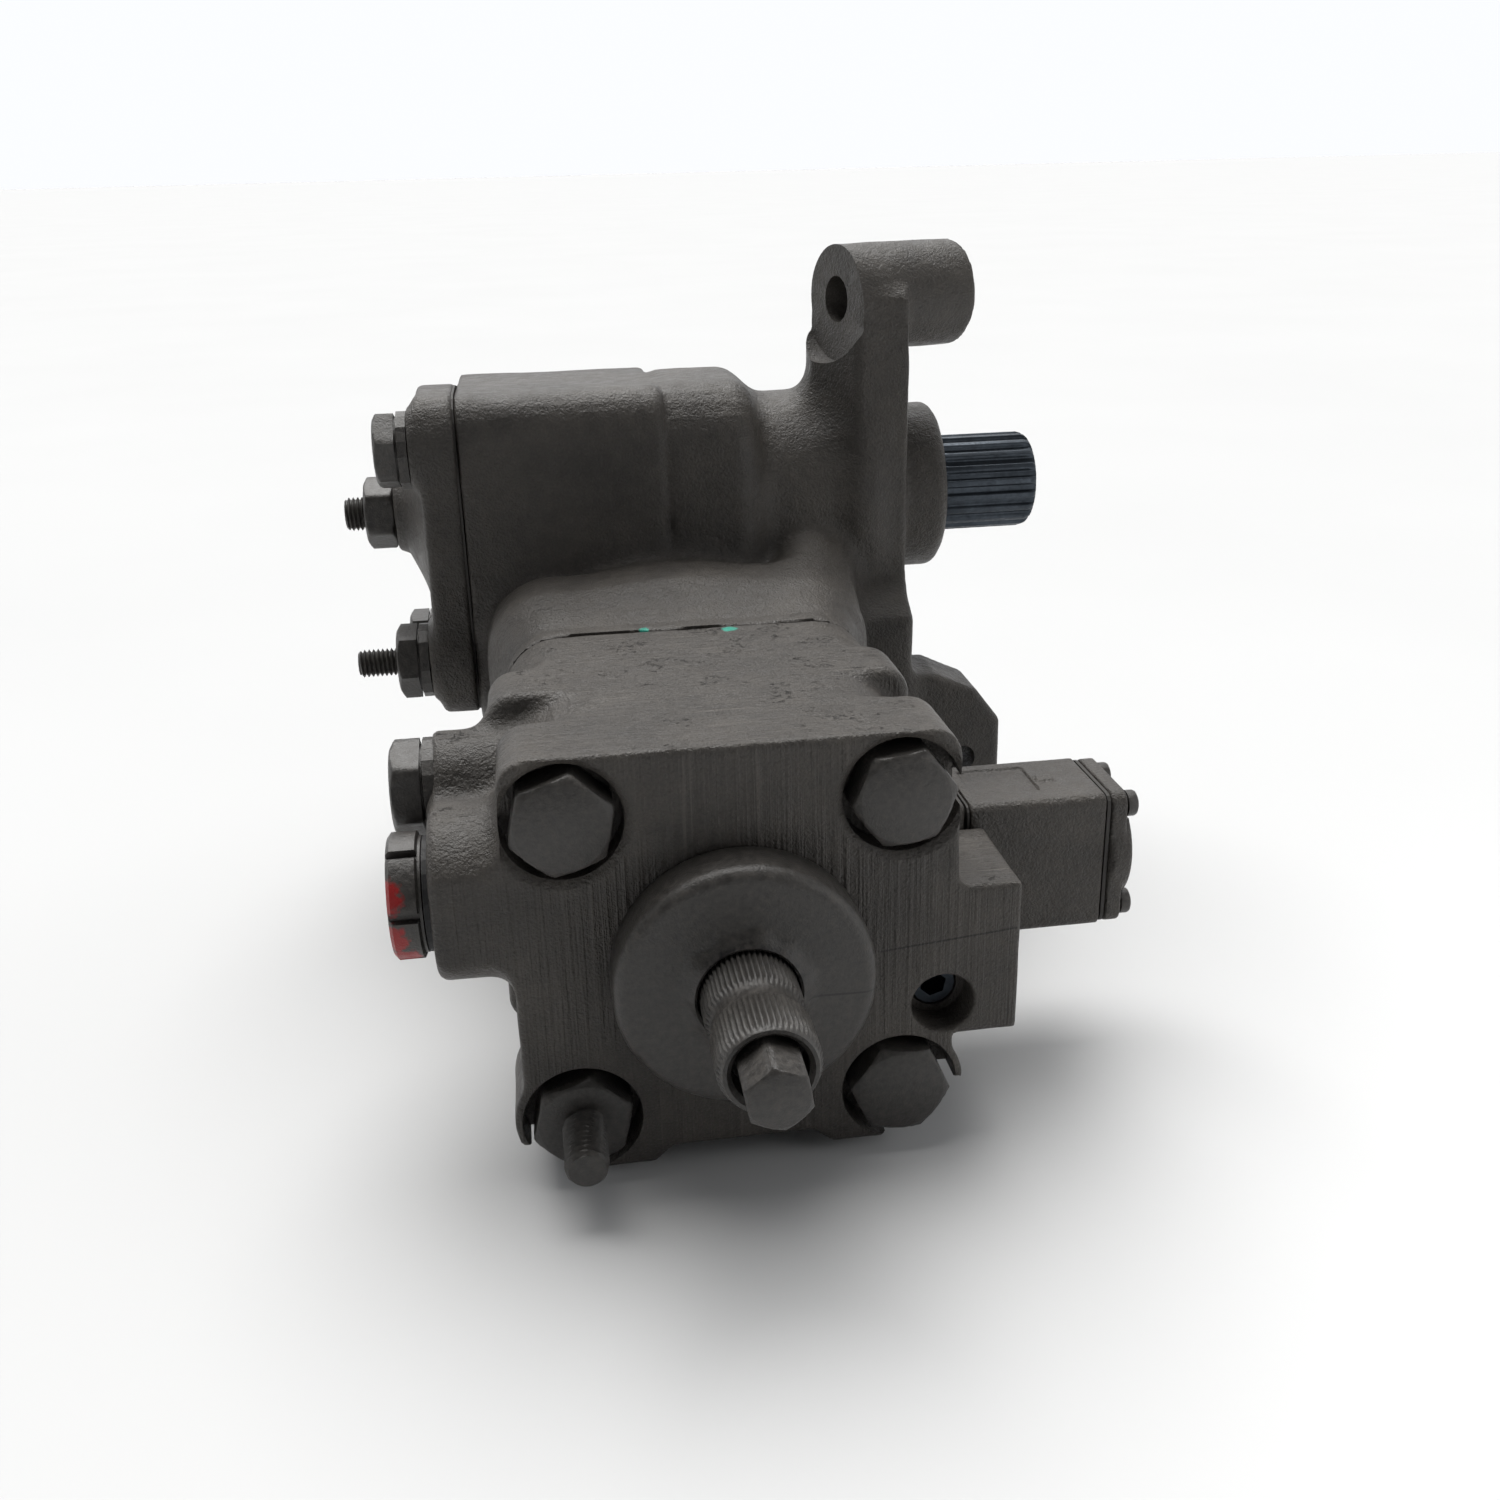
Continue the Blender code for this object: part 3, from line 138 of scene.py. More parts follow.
# Light and colours.
SUN_POWER, SUN_SPREAD, SUN_BACK, SUN_LEFT = 4.0, 60, 24, 4
SUN_COLOUR = (1.0, 0.985, 0.96)
FILL_POWER, FILL_SIZE, FILL_PLACE = 0.32, 0.25, (360, -170, 150)
SKY_COLOUR = (0.97, 0.985, 1.01)
WORLD_LEVEL = 0.85
FRONT_LEVEL = 0.10
FLOOR_COLOUR = (0.60, 0.605, 0.61)
FLOOR_REACH, FLOOR_DROP = 30, 0.0003
DARK, MIDDLE, LIGHT = (0.034, 0.031, 0.028), (0.050, 0.045, 0.040), (0.070, 0.063, 0.055)
WORN, PIT, SCRATCH = (0.115, 0.103, 0.092), (0.012, 0.011, 0.010), (0.010, 0.009, 0.009)
SMOOTH_DARK, SMOOTH_MIDDLE, SMOOTH_LIGHT = (0.030, 0.028, 0.026), (0.043, 0.040, 0.037), (0.062, 0.056, 0.050)
TEAL, BRIGHT_PAINT, DIRT = (0.02, 0.30, 0.22), (0.25, 0.012, 0.012), (0.006, 0.006, 0.007)


# ------------------------------------------------------------------ meshes

def finish_mesh(name, points, faces, sharp=50):
    """An object on the frame from points in the layout's millimetres."""
    mesh = bpy.data.meshes.new(name)
    mesh.from_pydata([(Vector(point) * MM + LAYOUT)[:] for point in points], [], faces)
    working = bmesh.new()
    working.from_mesh(mesh)
    bmesh.ops.recalc_face_normals(working, faces=working.faces)
    working.to_mesh(mesh)
    working.free()
    mesh.shade_smooth()
    mesh.set_sharp_from_angle(angle=radians(sharp))
    shape = bpy.data.objects.new(name, mesh)
    bpy.context.scene.collection.objects.link(shape)
    return shape


def place(axis, centre, t, u, v):
    """A point at t along an axis line and (u, v) across it."""
    if axis == "X":
        return (t, centre[0] + u, centre[1] + v)
    if axis == "Y":
        return (centre[0] + u, t, centre[1] + v)
    return (centre[0] + u, centre[1] + v, t)


def skinned(name, axis, centre, rings, count=64, loop=False, sharp=40):
    """A solid skinned over rings along an axis; with loop, the last ring joins the first.

    A ring is (distance, radius), and a radius may be a function of the angle.
    """
    points, faces = [], []
    for distance, radius in rings:
        for index in range(count):
            angle = 2 * pi * index / count
            reach = radius(angle) if callable(radius) else radius
            points.append(place(axis, centre, distance, reach * cos(angle), reach * sin(angle)))
    spans = len(rings) if loop else len(rings) - 1
    for ring in range(spans):
        here, there = ring * count, (ring + 1) % len(rings) * count
        for index in range(count):
            follow = (index + 1) % count
            faces.append((here + index, here + follow, there + follow, there + index))
    if not loop:
        for ring in (0, len(rings) - 1):
            points.append(place(axis, centre, rings[ring][0], 0, 0))
            for index in range(count):
                faces.append((len(points) - 1, ring * count + index, ring * count + (index + 1) % count))
    return finish_mesh(name, points, faces, sharp)


def cut(shape, tools):
    """Cut each tool from the shape, for good."""
    for tool in tools:
        modifier = shape.modifiers.new("Cut", "BOOLEAN")
        modifier.operation = "DIFFERENCE"
        modifier.solver = "EXACT"
        modifier.object = tool
    return applied(shape, tools)


def applied(shape, tools=()):
    """Apply the shape's modifiers and remove the tools they used."""
    bpy.context.view_layer.update()
    evaluated = shape.evaluated_get(bpy.context.evaluated_depsgraph_get())
    mesh = bpy.data.meshes.new_from_object(evaluated)
    shape.modifiers.clear()
    shape.data = mesh
    mesh.shade_smooth()
    mesh.set_sharp_from_angle(angle=radians(50))
    for tool in tools:
        bpy.data.objects.remove(tool)
    return shape


# ------------------------------------------------------------------ fields

class Field:
    """A casting as signed distances on a grid, negative inside, joined with cast fillets and then meshed."""

    def __init__(self, low, high, step):
        self.low, self.step = low, step
        counts = [ceil((high[i] - low[i]) / step) + 1 for i in range(3)]
        axes = [low[i] + step * np.arange(counts[i], dtype=np.float32) for i in range(3)]
        self.x, self.y, self.z = np.meshgrid(*axes, indexing="ij", sparse=True)
        self.d = np.full(counts, FAR, dtype=np.float32)

    def across(self, axis):
        """The coordinate along an axis and the two across it."""
        return {
            "X": (self.x, self.y, self.z),
            "Y": (self.y, self.x, self.z),
            "Z": (self.z, self.x, self.y),
        }[axis]

    def capped(self, side, axis, low, high, edge):
        """A 2-D distance carried from low to high along an axis, with its end edges rounded."""
        along = self.across(axis)[0]
        a = side + edge
        b = abs(along - (low + high) / 2) - (high - low) / 2 + edge
        return np.minimum(np.maximum(a, b), 0) + np.hypot(np.maximum(a, 0), np.maximum(b, 0)) - edge

    def rod(self, axis, centre, radius, low, high, edge=0.5):
        """A cylinder."""
        _, u, v = self.across(axis)
        return self.capped(np.hypot(u - centre[0], v - centre[1]) - radius, axis, low, high, edge)

    def prism(self, axis, outline, low, high, edge=0.5):
        """An extruded outline."""
        _, u, v = self.across(axis)
        return self.capped(outline_distance(outline, u, v), axis, low, high, edge)

    def lathe(self, axis, centre, outline):
        """A turned shape: the outline holds (distance along the axis, radius)."""
        along, u, v = self.across(axis)
        return outline_distance(outline, along, np.hypot(u - centre[0], v - centre[1]))

    def block(self, low, high, edge=1.0):
        """A rounded box."""
        gaps = [abs(axis - (low[i] + high[i]) / 2) - (high[i] - low[i]) / 2 + edge
                for i, axis in enumerate((self.x, self.y, self.z))]
        outside = sqrt3(*[np.maximum(gap, 0) for gap in gaps])
        return outside + np.minimum(np.maximum(np.maximum(gaps[0], gaps[1]), gaps[2]), 0) - edge

    def bar(self, start, end, radius, flat_ends=False, edge=0.5):
        """A round bar between two points, with round ends or flat ones."""
        run = [end[i] - start[i] for i in range(3)]
        length = sqrt(sum(part * part for part in run))
        way = [part / length for part in run]
        rel = (self.x - start[0], self.y - start[1], self.z - start[2])
        along = rel[0] * way[0] + rel[1] * way[1] + rel[2] * way[2]
        if flat_ends:
            away = np.sqrt(np.maximum(rel[0] ** 2 + rel[1] ** 2 + rel[2] ** 2 - along ** 2, 0))
            a, b = away - radius + edge, abs(along - length / 2) - length / 2 + edge
            return np.minimum(np.maximum(a, b), 0) + np.hypot(np.maximum(a, 0), np.maximum(b, 0)) - edge
        held = np.clip(along, 0, length)
        return sqrt3(rel[0] - way[0] * held, rel[1] - way[1] * held, rel[2] - way[2] * held) - radius

    def add(self, shape, fillet=0.0):
        """Join a shape, with a concave fillet of about this radius."""
        self.d = blend(self.d, shape, fillet * 1.2)

    def remove(self, shape):
        """Cut a shape away with a sharp edge."""
        self.d = np.maximum(self.d, -shape)

    def roughen(self, amount, spacing, seed):
        """Uneven cast skin."""
        rng = np.random.default_rng(seed)
        counts = [ceil(size * self.step / spacing) + 2 for size in self.d.shape]
        coarse = rng.uniform(-1, 1, counts).astype(np.float32)
        for axis, size in enumerate(self.d.shape):
            spot = np.arange(size) * self.step / spacing
            low = spot.astype(int)
            share = (spot - low).reshape([-1 if i == axis else 1 for i in range(3)])
            share = (share * share * (3 - 2 * share)).astype(np.float32)
            coarse = np.take(coarse, low, axis) * (1 - share) + np.take(coarse, low + 1, axis) * share
        self.d = self.d + coarse * amount

    def mesh(self, name):
        """The surface where the distance is zero."""
        band = 3 * self.step
        grid = openvdb.FloatGrid(band)
        grid.copyFromArray(np.ascontiguousarray(np.clip(self.d, -band, band)))
        grid.transform = openvdb.createLinearTransform(voxelSize=self.step)
        points, quads = grid.convertToQuads()
        return finish_mesh(name, (points + np.array(self.low)).tolist(), quads.tolist())


def sqrt3(a, b, c):
    """Length of a vector given by its parts."""
    return np.sqrt(a * a + b * b + c * c)


def blend(a, b, reach):
    """Smooth union of two distances."""
    if reach == 0:
        return np.minimum(a, b)
    near = np.maximum(reach - abs(a - b), 0)
    return np.minimum(a, b) - near * near / (4 * reach)


def outline_distance(outline, u, v):
    """Signed distance to a closed outline in (u, v), negative inside."""
    nearest = np.float32(1e6)
    inside = np.zeros(np.broadcast_shapes(u.shape, v.shape), dtype=bool)
    for (au, av), (bu, bv) in zip(outline, outline[1:] + outline[:1]):
        du, dv = bu - au, bv - av
        share = np.clip(((u - au) * du + (v - av) * dv) / (du * du + dv * dv), 0, 1)
        nearest = np.minimum(nearest, np.hypot(u - au - share * du, v - av - share * dv))
        if av != bv:
            crosses = ((v >= av) != (v >= bv)) & (u < au + (v - av) * du / dv)
            inside ^= crosses
    return np.where(inside, -nearest, nearest).astype(np.float32)


def rounded(corners):
    """A closed outline through (u, v, radius) corners, each rounded by an arc."""
    outline = []
    for index, (u, v, radius) in enumerate(corners):
        here = Vector((u, v))
        if radius == 0:
            outline.append((u, v))
            continue
        back = (Vector(corners[index - 1][:2]) - here).normalized()
        ahead = (Vector(corners[(index + 1) % len(corners)][:2]) - here).normalized()
        half = back.angle(ahead) / 2
        centre = here + (back + ahead).normalized() * (radius / sin(half))
        first = here + back * (radius / tan(half)) - centre
        last = here + ahead * (radius / tan(half)) - centre
        start = atan2(first.y, first.x)
        sweep = (atan2(last.y, last.x) - start + pi) % (2 * pi) - pi
        for step in range(ARC_STEPS + 1):
            angle = start + sweep * step / ARC_STEPS
            outline.append((centre.x + radius * cos(angle), centre.y + radius * sin(angle)))
    return outline


# ---------------------------------------------------------------- castings

JOINT = rounded([(-56, -57, 17), (55, -57, 17), (55, HOUSING_TOP, 17), (-56, HOUSING_TOP, 17)])
COVER = rounded([(156, 15, 12), (251, 8, 12), (251, 113, 22), (190, 122.5, 30), (156, 122.5, 12)])
SECTOR_BOX = rounded([(156, 15, 12), (252, 8, 12), (252, 119.5, 22), (156, 122.5, 12)])
DRUM = rounded([(157, 15, 6), (243, 15, 6), (243, 122.3, 36), (157, 122.3, 20)])


def add_web(field):
    """The web that carries the ear, its flank, the shelf below it and the neck round the sector shaft."""
    web = rounded([(165, -30, 4), (236, -30, 10), (238, 92, 20), (212, 118, 14), (199, 150, 14),
                   (165, 150, 6)])
    field.add(field.prism("X", web, 68, 90, 1))
    flank = rounded([(66, 166, 2), (95, 166, 0), (95, 200, 0), (54.5, 200, 8), (54.5, 184, 6)])
    field.add(field.prism("Z", flank, 100, 141, 4), 3)
    shelf = rounded([(150, -38, 4), (234, -38, 10), (234, 56, 10), (168, 56, 4), (150, 42, 3)])
    field.add(field.prism("X", shelf, 40, 84, 3), 4)
    field.remove(field.block((WEB_RIGHT, 100, -80), (140, 320, 180), 0))
    field.add(field.rod("X", SECTOR, 36, 26, 72, 1), 10)


def add_barrel(field):
    """The cylinder, its shoulder towards the valve housing and the bosses that take the valve bolts."""
    shoulder = rounded([(-60, -60, 20), (59, -60, 20), (59, 65, 20), (-60, 65, 20)])
    taper = 5.5 * np.clip((128 - field.y) / 22, 0, 1)
    side = outline_distance(shoulder, field.x, field.z) + taper
    body = field.rod("Y", INPUT, BARREL_RADIUS, 122, BARREL_REAR, 7)
    body = blend(body, field.capped(side, "Y", JOINT_Y + 0.6, 150, 3), 8)
    body = np.minimum(body, field.prism("Y", JOINT, JOINT_Y - 2, 105.5, 0.8))
    for centre in VALVE_BOLTS:
        body = blend(body, field.rod("Y", centre, 17.5, 122, 160, 4), 6)
    field.add(body, 6)
    field.add(field.bar((43, 128, 43), (50, 164, 56), 15), 6)


def add_sector_case(field):
    """The box and the drum that hold the sector gear."""
    case = field.prism("X", SECTOR_BOX, -75, 1, 3)
    case = blend(case, field.prism("X", DRUM, -4, 33, 9), 1.5)
    field.add(case, 7)


def add_mounts(field):
    """The ear, the lower lug, the collar round the output shaft and the foot."""
    ear_end = EAR_CENTRE + EAR_AXIS * EAR_LENGTH
    field.add(field.bar(EAR_CENTRE - EAR_AXIS * 5, ear_end, EAR_RADIUS, True, 1.5), 2.5)
    lug = rounded([(60, -40, 0), (104, -40, 8), (117, -28, 6), (117, 1, 2), (108, 13, 5), (93, 20, 5),
                   (60, 20, 0)])
    field.add(field.prism("Y", lug, 152, 178, 2.5), 5)
    field.add(field.rod("X", SECTOR, 29.5, 66, COLLAR_END, 4), 2)
    field.add(field.block((-34, 112, FOOT_Z - 8), (34, 292, -48), 4), 6)


def machine_gear(field):
    """The flat faces and large bores, cut after the cast skin so that they stay smooth."""
    field.remove(field.block((-80, 90, FOOT_Z - 30), (130, 320, FOOT_Z), 0))
    for left, right, face, top in ((-80, 130, 0.6, 180), (-80, 9, 1.7, 90), (36, 80, 1.7, 90)):
        window = [(left, -80), (right, -80), (right, top), (left, top)]
        field.remove(field.prism("Y", window, 80, JOINT_Y + face, 0))
    field.remove(field.block((-90, 140, 0), (-66.3, 270, 140), 0))
    field.remove(field.rod("Y", INPUT, BARREL_BORE, 80, 292, 0))
    field.remove(field.rod("X", SECTOR, 31.5, -80, 25, 0))
    field.remove(np.maximum(field.rod("X", SECTOR, 41.5, -80, 25, 0), field.z - SECTOR[1] - 8))
    field.remove(field.rod("X", SECTOR, 21, 20, 120, 0))


def gear_casting():
    """The main casting."""
    field = Field((-69, 96, -64), (122, 307, 167), 1.25)
    add_web(field)
    add_barrel(field)
    add_sector_case(field)
    add_mounts(field)
    field.roughen(0.22, 9, 11)
    machine_gear(field)
    casting = field.mesh("cast_gear_housing")
    return cut(casting, [
        ear_tool(EAR_FACE, -30, 0, 0.4),
        ear_tool(EAR_BORE, -40, 80, 0),
        hole("X", SECTOR, SEAL_SEAT_RADIUS, SEAL_SEAT_START, 120, 64),
        hole("Y", LUG_HOLE, 4.8, 140, 190, 40),
        *[hole("Y", centre, VALVE_BOLT_HOLE, 80, 128, 24) for centre in VALVE_BOLTS],
        *[hole("X", centre, COVER_BOLT_HOLE, -80, -53, 24) for centre in COVER_BOLTS],
    ])


def hole(axis, centre, radius, start, end, count):
    """A cutter for a plain round hole."""
    return skinned("tool", axis, centre, [(start, radius), (end, radius)], count)


def ear_tool(radius, low, high, edge):
    """A cutter on the ear's own axis."""
    tool = skinned("tool", "X", INPUT, [(low, radius), (high - edge, radius), (high, radius - edge)], 64)
    there = Matrix.Translation(LAYOUT + EAR_CENTRE * MM)
    tool.data.transform(there @ Matrix.Rotation(EAR_YAW, 4, "Z") @ Matrix.Translation(-LAYOUT))
    return tool


def add_valve_body(field):
    """The front plate, the waist with its ears, the joint flange and the step on the right."""
    front = rounded([(-57, -38, 3), (-38, -58.5, 2), (-24, -58.5, 2), (-19, -54, 3), (19, -54, 3),
                     (24, -58.5, 2), (38, -58.5, 2), (57, -38, 3), (57.5, HOUSING_TOP, 8),
                     (-57.5, HOUSING_TOP, 8)])
    waist = rounded([(-52, -54, 12), (52, -54, 12), (52, HOUSING_TOP, 20), (-52, HOUSING_TOP, 20)])
    ears = rounded([(-61, -36, 6), (-50, -56, 6), (50, -56, 6), (57, -36, 6), (56, HOUSING_TOP, 8),
                    (-60, HOUSING_TOP, 8)])
    step = rounded([(40, -28, 0), (74.5, -28, 1), (74.5, 15.6, 1.2), (57, 15.6, 4.5), (57, 24, 0),
                    (40, 24, 0)])
    field.add(field.prism("Y", front, -0.3, 27, 1.6))
    field.add(field.prism("Y", waist, 20, 80, 1), 4)
    field.add(field.prism("Y", ears, 48, 71, 3), 4)
    field.add(field.prism("Y", JOINT, 68, JOINT_Y, 1), 4)
    field.add(field.block((45, 36, -22), (70, 68, 22.5), 3), 9)
    field.add(field.prism("Y", step, -0.3, 35.6, 1.3), 1)


def add_bosses(field):
    """The thin lips beside the lower bolts, and the bosses of the relief valve and the plugged port."""
    for centre, low_end in zip(VALVE_BOLTS[2:], LIP_ENDS):
        lip = field.rod("Y", centre, LIP_RADIUS, -0.3, 27, 1.2)
        field.add(np.maximum(lip, low_end - field.z), 1)
    field.add(field.rod("X", RELIEF, 22.5, -75.8, -30, 2.5), 6)
    field.add(field.rod("X", PLUG, 15, -74.5, -30, 1.5), 6)


def machine_valve(field):
    """The flat top and front, the spigot that enters the gear housing and the stepped main bore."""
    field.remove(field.prism("Y", [(-90, HOUSING_TOP), (90, HOUSING_TOP), (90, 90), (-90, 90)], -10, 120, 0))
    field.add(field.rod("Y", INPUT, 47, 60, 106, 0.5))
    field.remove(field.prism("Y", [(-90, -90), (90, -90), (90, 90), (-90, 90)], -40, 0, 0))
    for radius, start, end in ((16, -40, 20), (21.6, 14, 90), (30, 78, 110), (41, 99, 120)):
        field.remove(field.rod("Y", INPUT, radius, start, end, 0))


def valve_tools():
    """Cutters for the valve housing's counterbores and small holes."""
    tools = []
    for centre in VALVE_BOLTS:
        rim = WIDE_RIM if centre[1] > 0 else NARROW_RIM
        rings = [(-6, rim), (0, rim), (1.5, COUNTERBORE), (9.5, COUNTERBORE)]
        tools.append(skinned("tool", "Y", centre, rings, 64))
        tools.append(hole("Y", centre, VALVE_BOLT_HOLE, 5, 120, 24))
    tools += [
        skinned("tool", "Y", SOCKET, [(-6, 9), (0, 9), (0.5, 8.5), (10, 8.5)], 48),
        hole("Y", SOCKET, 6.4, 5, 32, 24),
        hole("X", RELIEF, 9, -85, -32, 32),
        hole("X", RELIEF, 3, -40, 0, 16),
        hole("X", PLUG, 14.4, -85, -73.6, 48),
        hole("X", PLUG, PORT_PLUG_HOLE, -80, -54, 24),
    ]
    for centre, mouth in PORTS:
        rings = [(-70, mouth), (-56, mouth), (-55, mouth - 1), (-34, mouth - 1)]
        tools.append(skinned("tool", "Z", centre, rings, 40))
    return tools


def valve_casting():
    """The valve housing."""
    field = Field((-79, -3, -61), (78, 108, 63), 0.95)
    add_valve_body(field)
    add_bosses(field)
    field.roughen(0.16, 7, 5)
    machine_valve(field)
    return cut(field.mesh("cast_valve_housing"), valve_tools())


def side_casting():
    """The side cover."""
    field = Field((-92, 153, 5), (-65, 254, 126), 0.9)
    field.add(field.prism("X", COVER, -79.3, -60, 2.5))
    cone = [(-60, 0), (-60, 31), (-79, 31), (-82.5, 24), (-87, 14.4), (-90.5, 13), (-90.5, 0)]
    field.add(field.lathe("X", SECTOR, cone) - 0.4, 5)
    for centre in COVER_BOLTS:
        field.add(field.rod("X", centre, 13.3, -81.5, -60, 1.2), 4)
    field.roughen(0.18, 7, 23)
    field.remove(field.block((COVER_FACE, 100, -20), (0, 300, 160), 0))
    casting = field.mesh("cast_side_cover")
    return cut(casting, [
        hole("X", SECTOR, 19.1, -84.5, -60, 40),
        hole("X", SECTOR, 6.4, -95, -80, 24),
        *[hole("X", centre, COVER_BOLT_HOLE, -95, -60, 24) for centre in COVER_BOLTS],
        *[hole("X", centre, 12.9, -95, -81.5, 40) for centre in COVER_BOLTS],
    ])


def auxiliary_section(radius):
    """Section of the auxiliary valve in Y and Z."""
    low_y, high_y, low_z, high_z = 36.2, 67.5, -20, 21.3
    return rounded([(low_y, low_z, radius), (high_y, low_z, radius), (high_y, high_z, radius),
                    (low_y, high_z, radius)])


def auxiliary_casting():
    """Body of the auxiliary valve, with a blank recess where a label would be."""
    field = Field((69, 34, -22), (113, 70, 23.5), 0.6)
    field.add(field.prism("X", auxiliary_section(2.6), 71.2, 111, 0.5))
    field.remove(field.block((74, 44.6, 20.6), (94, 62, 30), 0.2))
    field.add(field.block((95, 50, 15), (100, 54, 21.9), 0.5), 0.5)
    field.roughen(0.05, 5, 3)
    screw_holes = [hole("X", centre, 2.3, 95, 120, 16) for centre in AUX_SCREWS]
    return cut(field.mesh("auxiliary_body"), [hole("X", AUX, 7, 76, 120, 32)] + screw_holes)


def auxiliary_cap():
    """Domed end cap of the auxiliary valve."""
    field = Field((111, 34, -22), (121, 70, 23.5), 0.5)
    field.add(field.prism("X", auxiliary_section(4), 112.6, 117.4, 0.8))
    field.add(field.rod("X", AUX, 17, 113, 119.6, 1.6), 1)
    seats = [hole("X", centre, 4.7, 118, 125, 32) for centre in AUX_SCREWS]
    screw_holes = [hole("X", centre, 2.3, 105, 125, 16) for centre in AUX_SCREWS]
    return cut(field.mesh("auxiliary_cap"), seats + screw_holes)


# --------------------------------------------------------------- fasteners

def hexagon(flats, turn):
    """Radius of a hexagon with a corner at the angle turn, in degrees."""
    def radius(angle):
        away = (angle - radians(turn) + pi / 6) % (pi / 3) - pi / 6
        return flats / 2 / cos(pi / 6 - abs(away))
    return radius


def capped_by(radius, limit):
    """A radius that never passes a limit."""
    return lambda angle: min(radius(angle), limit)


def hex_rings(flats, turn, root, face, sign):
    """Rings of a hex head from its seat to its chamfered face; sign is the way along the axis."""
    corner = flats / sqrt(3)
    face_radius = flats * 0.47
    washer = flats * 0.48
    radius = hexagon(flats, turn)
    chamfer = (corner - face_radius) * tan(radians(30))
    step = root + sign * 0.5
    rings = [(root, washer), (step, washer), (step, radius)]
    for share in (0, 0.35, 0.65, 0.85, 1):
        limit = corner - share * (corner - face_radius)
        rings.append((face - sign * chamfer * (1 - share), capped_by(radius, limit)))
    return rings


def thread_radius(outer, depth, pitch, distance):
    """Radius of a thread's section at a distance along its axis."""
    def radius(angle):
        phase = (distance / pitch - angle / (2 * pi)) % 1
        return outer - depth * min(1, abs(phase - 0.5) * 2.4)
    return radius


def thread_rings(outer, pitch, start, end):
    """Rings of a threaded end with a chamfered tip."""
    sign = 1 if end > start else -1
    depth = pitch * 0.7
    count = ceil(abs(end - start) / pitch * 7)
    rings = [(start, outer - depth)]
    for index in range(count + 1):
        distance = start + (end - start) * index / count
        radius = thread_radius(outer, depth, pitch, distance)
        limit = outer - max(0, 1.2 - sign * (end - distance)) * 0.9
        rings.append((distance, capped_by(radius, limit)))
    rings.append((end + sign * 0.01, outer - depth - 1.2))
    return rings


def hex_bolt(name, axis, centre, flats, turn, seat, face, shank, shank_end, stud=None):
    """A hex bolt from its shank's end to its head's face, or to a threaded stud beyond it."""
    sign = 1 if face > seat else -1
    rings = [(shank_end, shank - 0.8), (shank_end + sign * 0.8, shank), (seat, shank)]
    rings += hex_rings(flats, turn, seat, face, sign)
    if stud:
        radius, pitch, tip = stud
        rings += [(face, radius + 0.9), (face + sign * 0.01, radius - 0.6)]
        rings += thread_rings(radius, pitch, face + sign * 0.2, tip)
    return skinned(name, axis, centre, rings, 72)


# -------------------------------------------------------------- materials

def surface(name, colour, roughness, metallic=0.0):
    """A new material and its node tree, shader and object coordinates."""
    material = bpy.data.materials.new(name)
    material.use_nodes = True
    tree = material.node_tree
    shader = tree.nodes["Principled BSDF"]
    shader.inputs["Base Color"].default_value = (*colour, 1)
    shader.inputs["Roughness"].default_value = roughness
    shader.inputs["Metallic"].default_value = metallic
    coordinates = tree.nodes.new("ShaderNodeTexCoord").outputs["Object"]
    return material, tree, shader, coordinates


def noise(tree, vector, scale, detail, stretch=(1, 1, 1), roughness=0.6):
    """Noise in object space; scale is in features per metre."""
    mapping = tree.nodes.new("ShaderNodeMapping")
    mapping.inputs["Scale"].default_value = stretch
    tree.links.new(vector, mapping.inputs["Vector"])
    texture = tree.nodes.new("ShaderNodeTexNoise")
    texture.inputs["Scale"].default_value = scale
    texture.inputs["Detail"].default_value = detail
    texture.inputs["Roughness"].default_value = roughness
    tree.links.new(mapping.outputs["Vector"], texture.inputs["Vector"])
    return texture.outputs["Fac"]


def ramp(tree, value, stops):
    """A colour ramp; stops are (position, colour)."""
    node = tree.nodes.new("ShaderNodeValToRGB")
    for index, (position, colour) in enumerate(stops):
        element = node.color_ramp.elements[index] if index < 2 else node.color_ramp.elements.new(position)
        element.position = position
        element.color = (*colour, 1)
    tree.links.new(value, node.inputs["Fac"])
    return node.outputs["Color"]


def reshape(tree, value, from_low, from_high, to_low, to_high):
    """Map a value from one range to another."""
    node = tree.nodes.new("ShaderNodeMapRange")
    limits = {"From Min": from_low, "From Max": from_high, "To Min": to_low, "To Max": to_high}
    for name, number in limits.items():
        node.inputs[name].default_value = number
    tree.links.new(value, node.inputs["Value"])
    return node.outputs["Result"]


def maths(tree, operation, a, b):
    """A math node on two values or sockets."""
    node = tree.nodes.new("ShaderNodeMath")
    node.operation = operation
    for socket, value in zip(node.inputs, (a, b)):
        if isinstance(value, (int, float)):
            socket.default_value = value
        else:
            tree.links.new(value, socket)
    return node.outputs["Value"]


def mixed(tree, share, a, b):
    """Mix two colours."""
    node = tree.nodes.new("ShaderNodeMix")
    node.data_type = "RGBA"
    for socket, value in ((node.inputs[0], share), (node.inputs[6], a), (node.inputs[7], b)):
        if isinstance(value, tuple):
            socket.default_value = (*value, 1)
        else:
            tree.links.new(value, socket)
    return node.outputs[2]


def bumped(tree, shader, heights):
    """Chain of bumps; heights are (value, depth in metres)."""
    normal = None
    for value, depth in heights:
        bump = tree.nodes.new("ShaderNodeBump")
        bump.inputs["Distance"].default_value = depth
        tree.links.new(value, bump.inputs["Height"])
        if normal:
            tree.links.new(normal, bump.inputs["Normal"])
        normal = bump.outputs["Normal"]
    tree.links.new(normal, shader.inputs["Normal"])


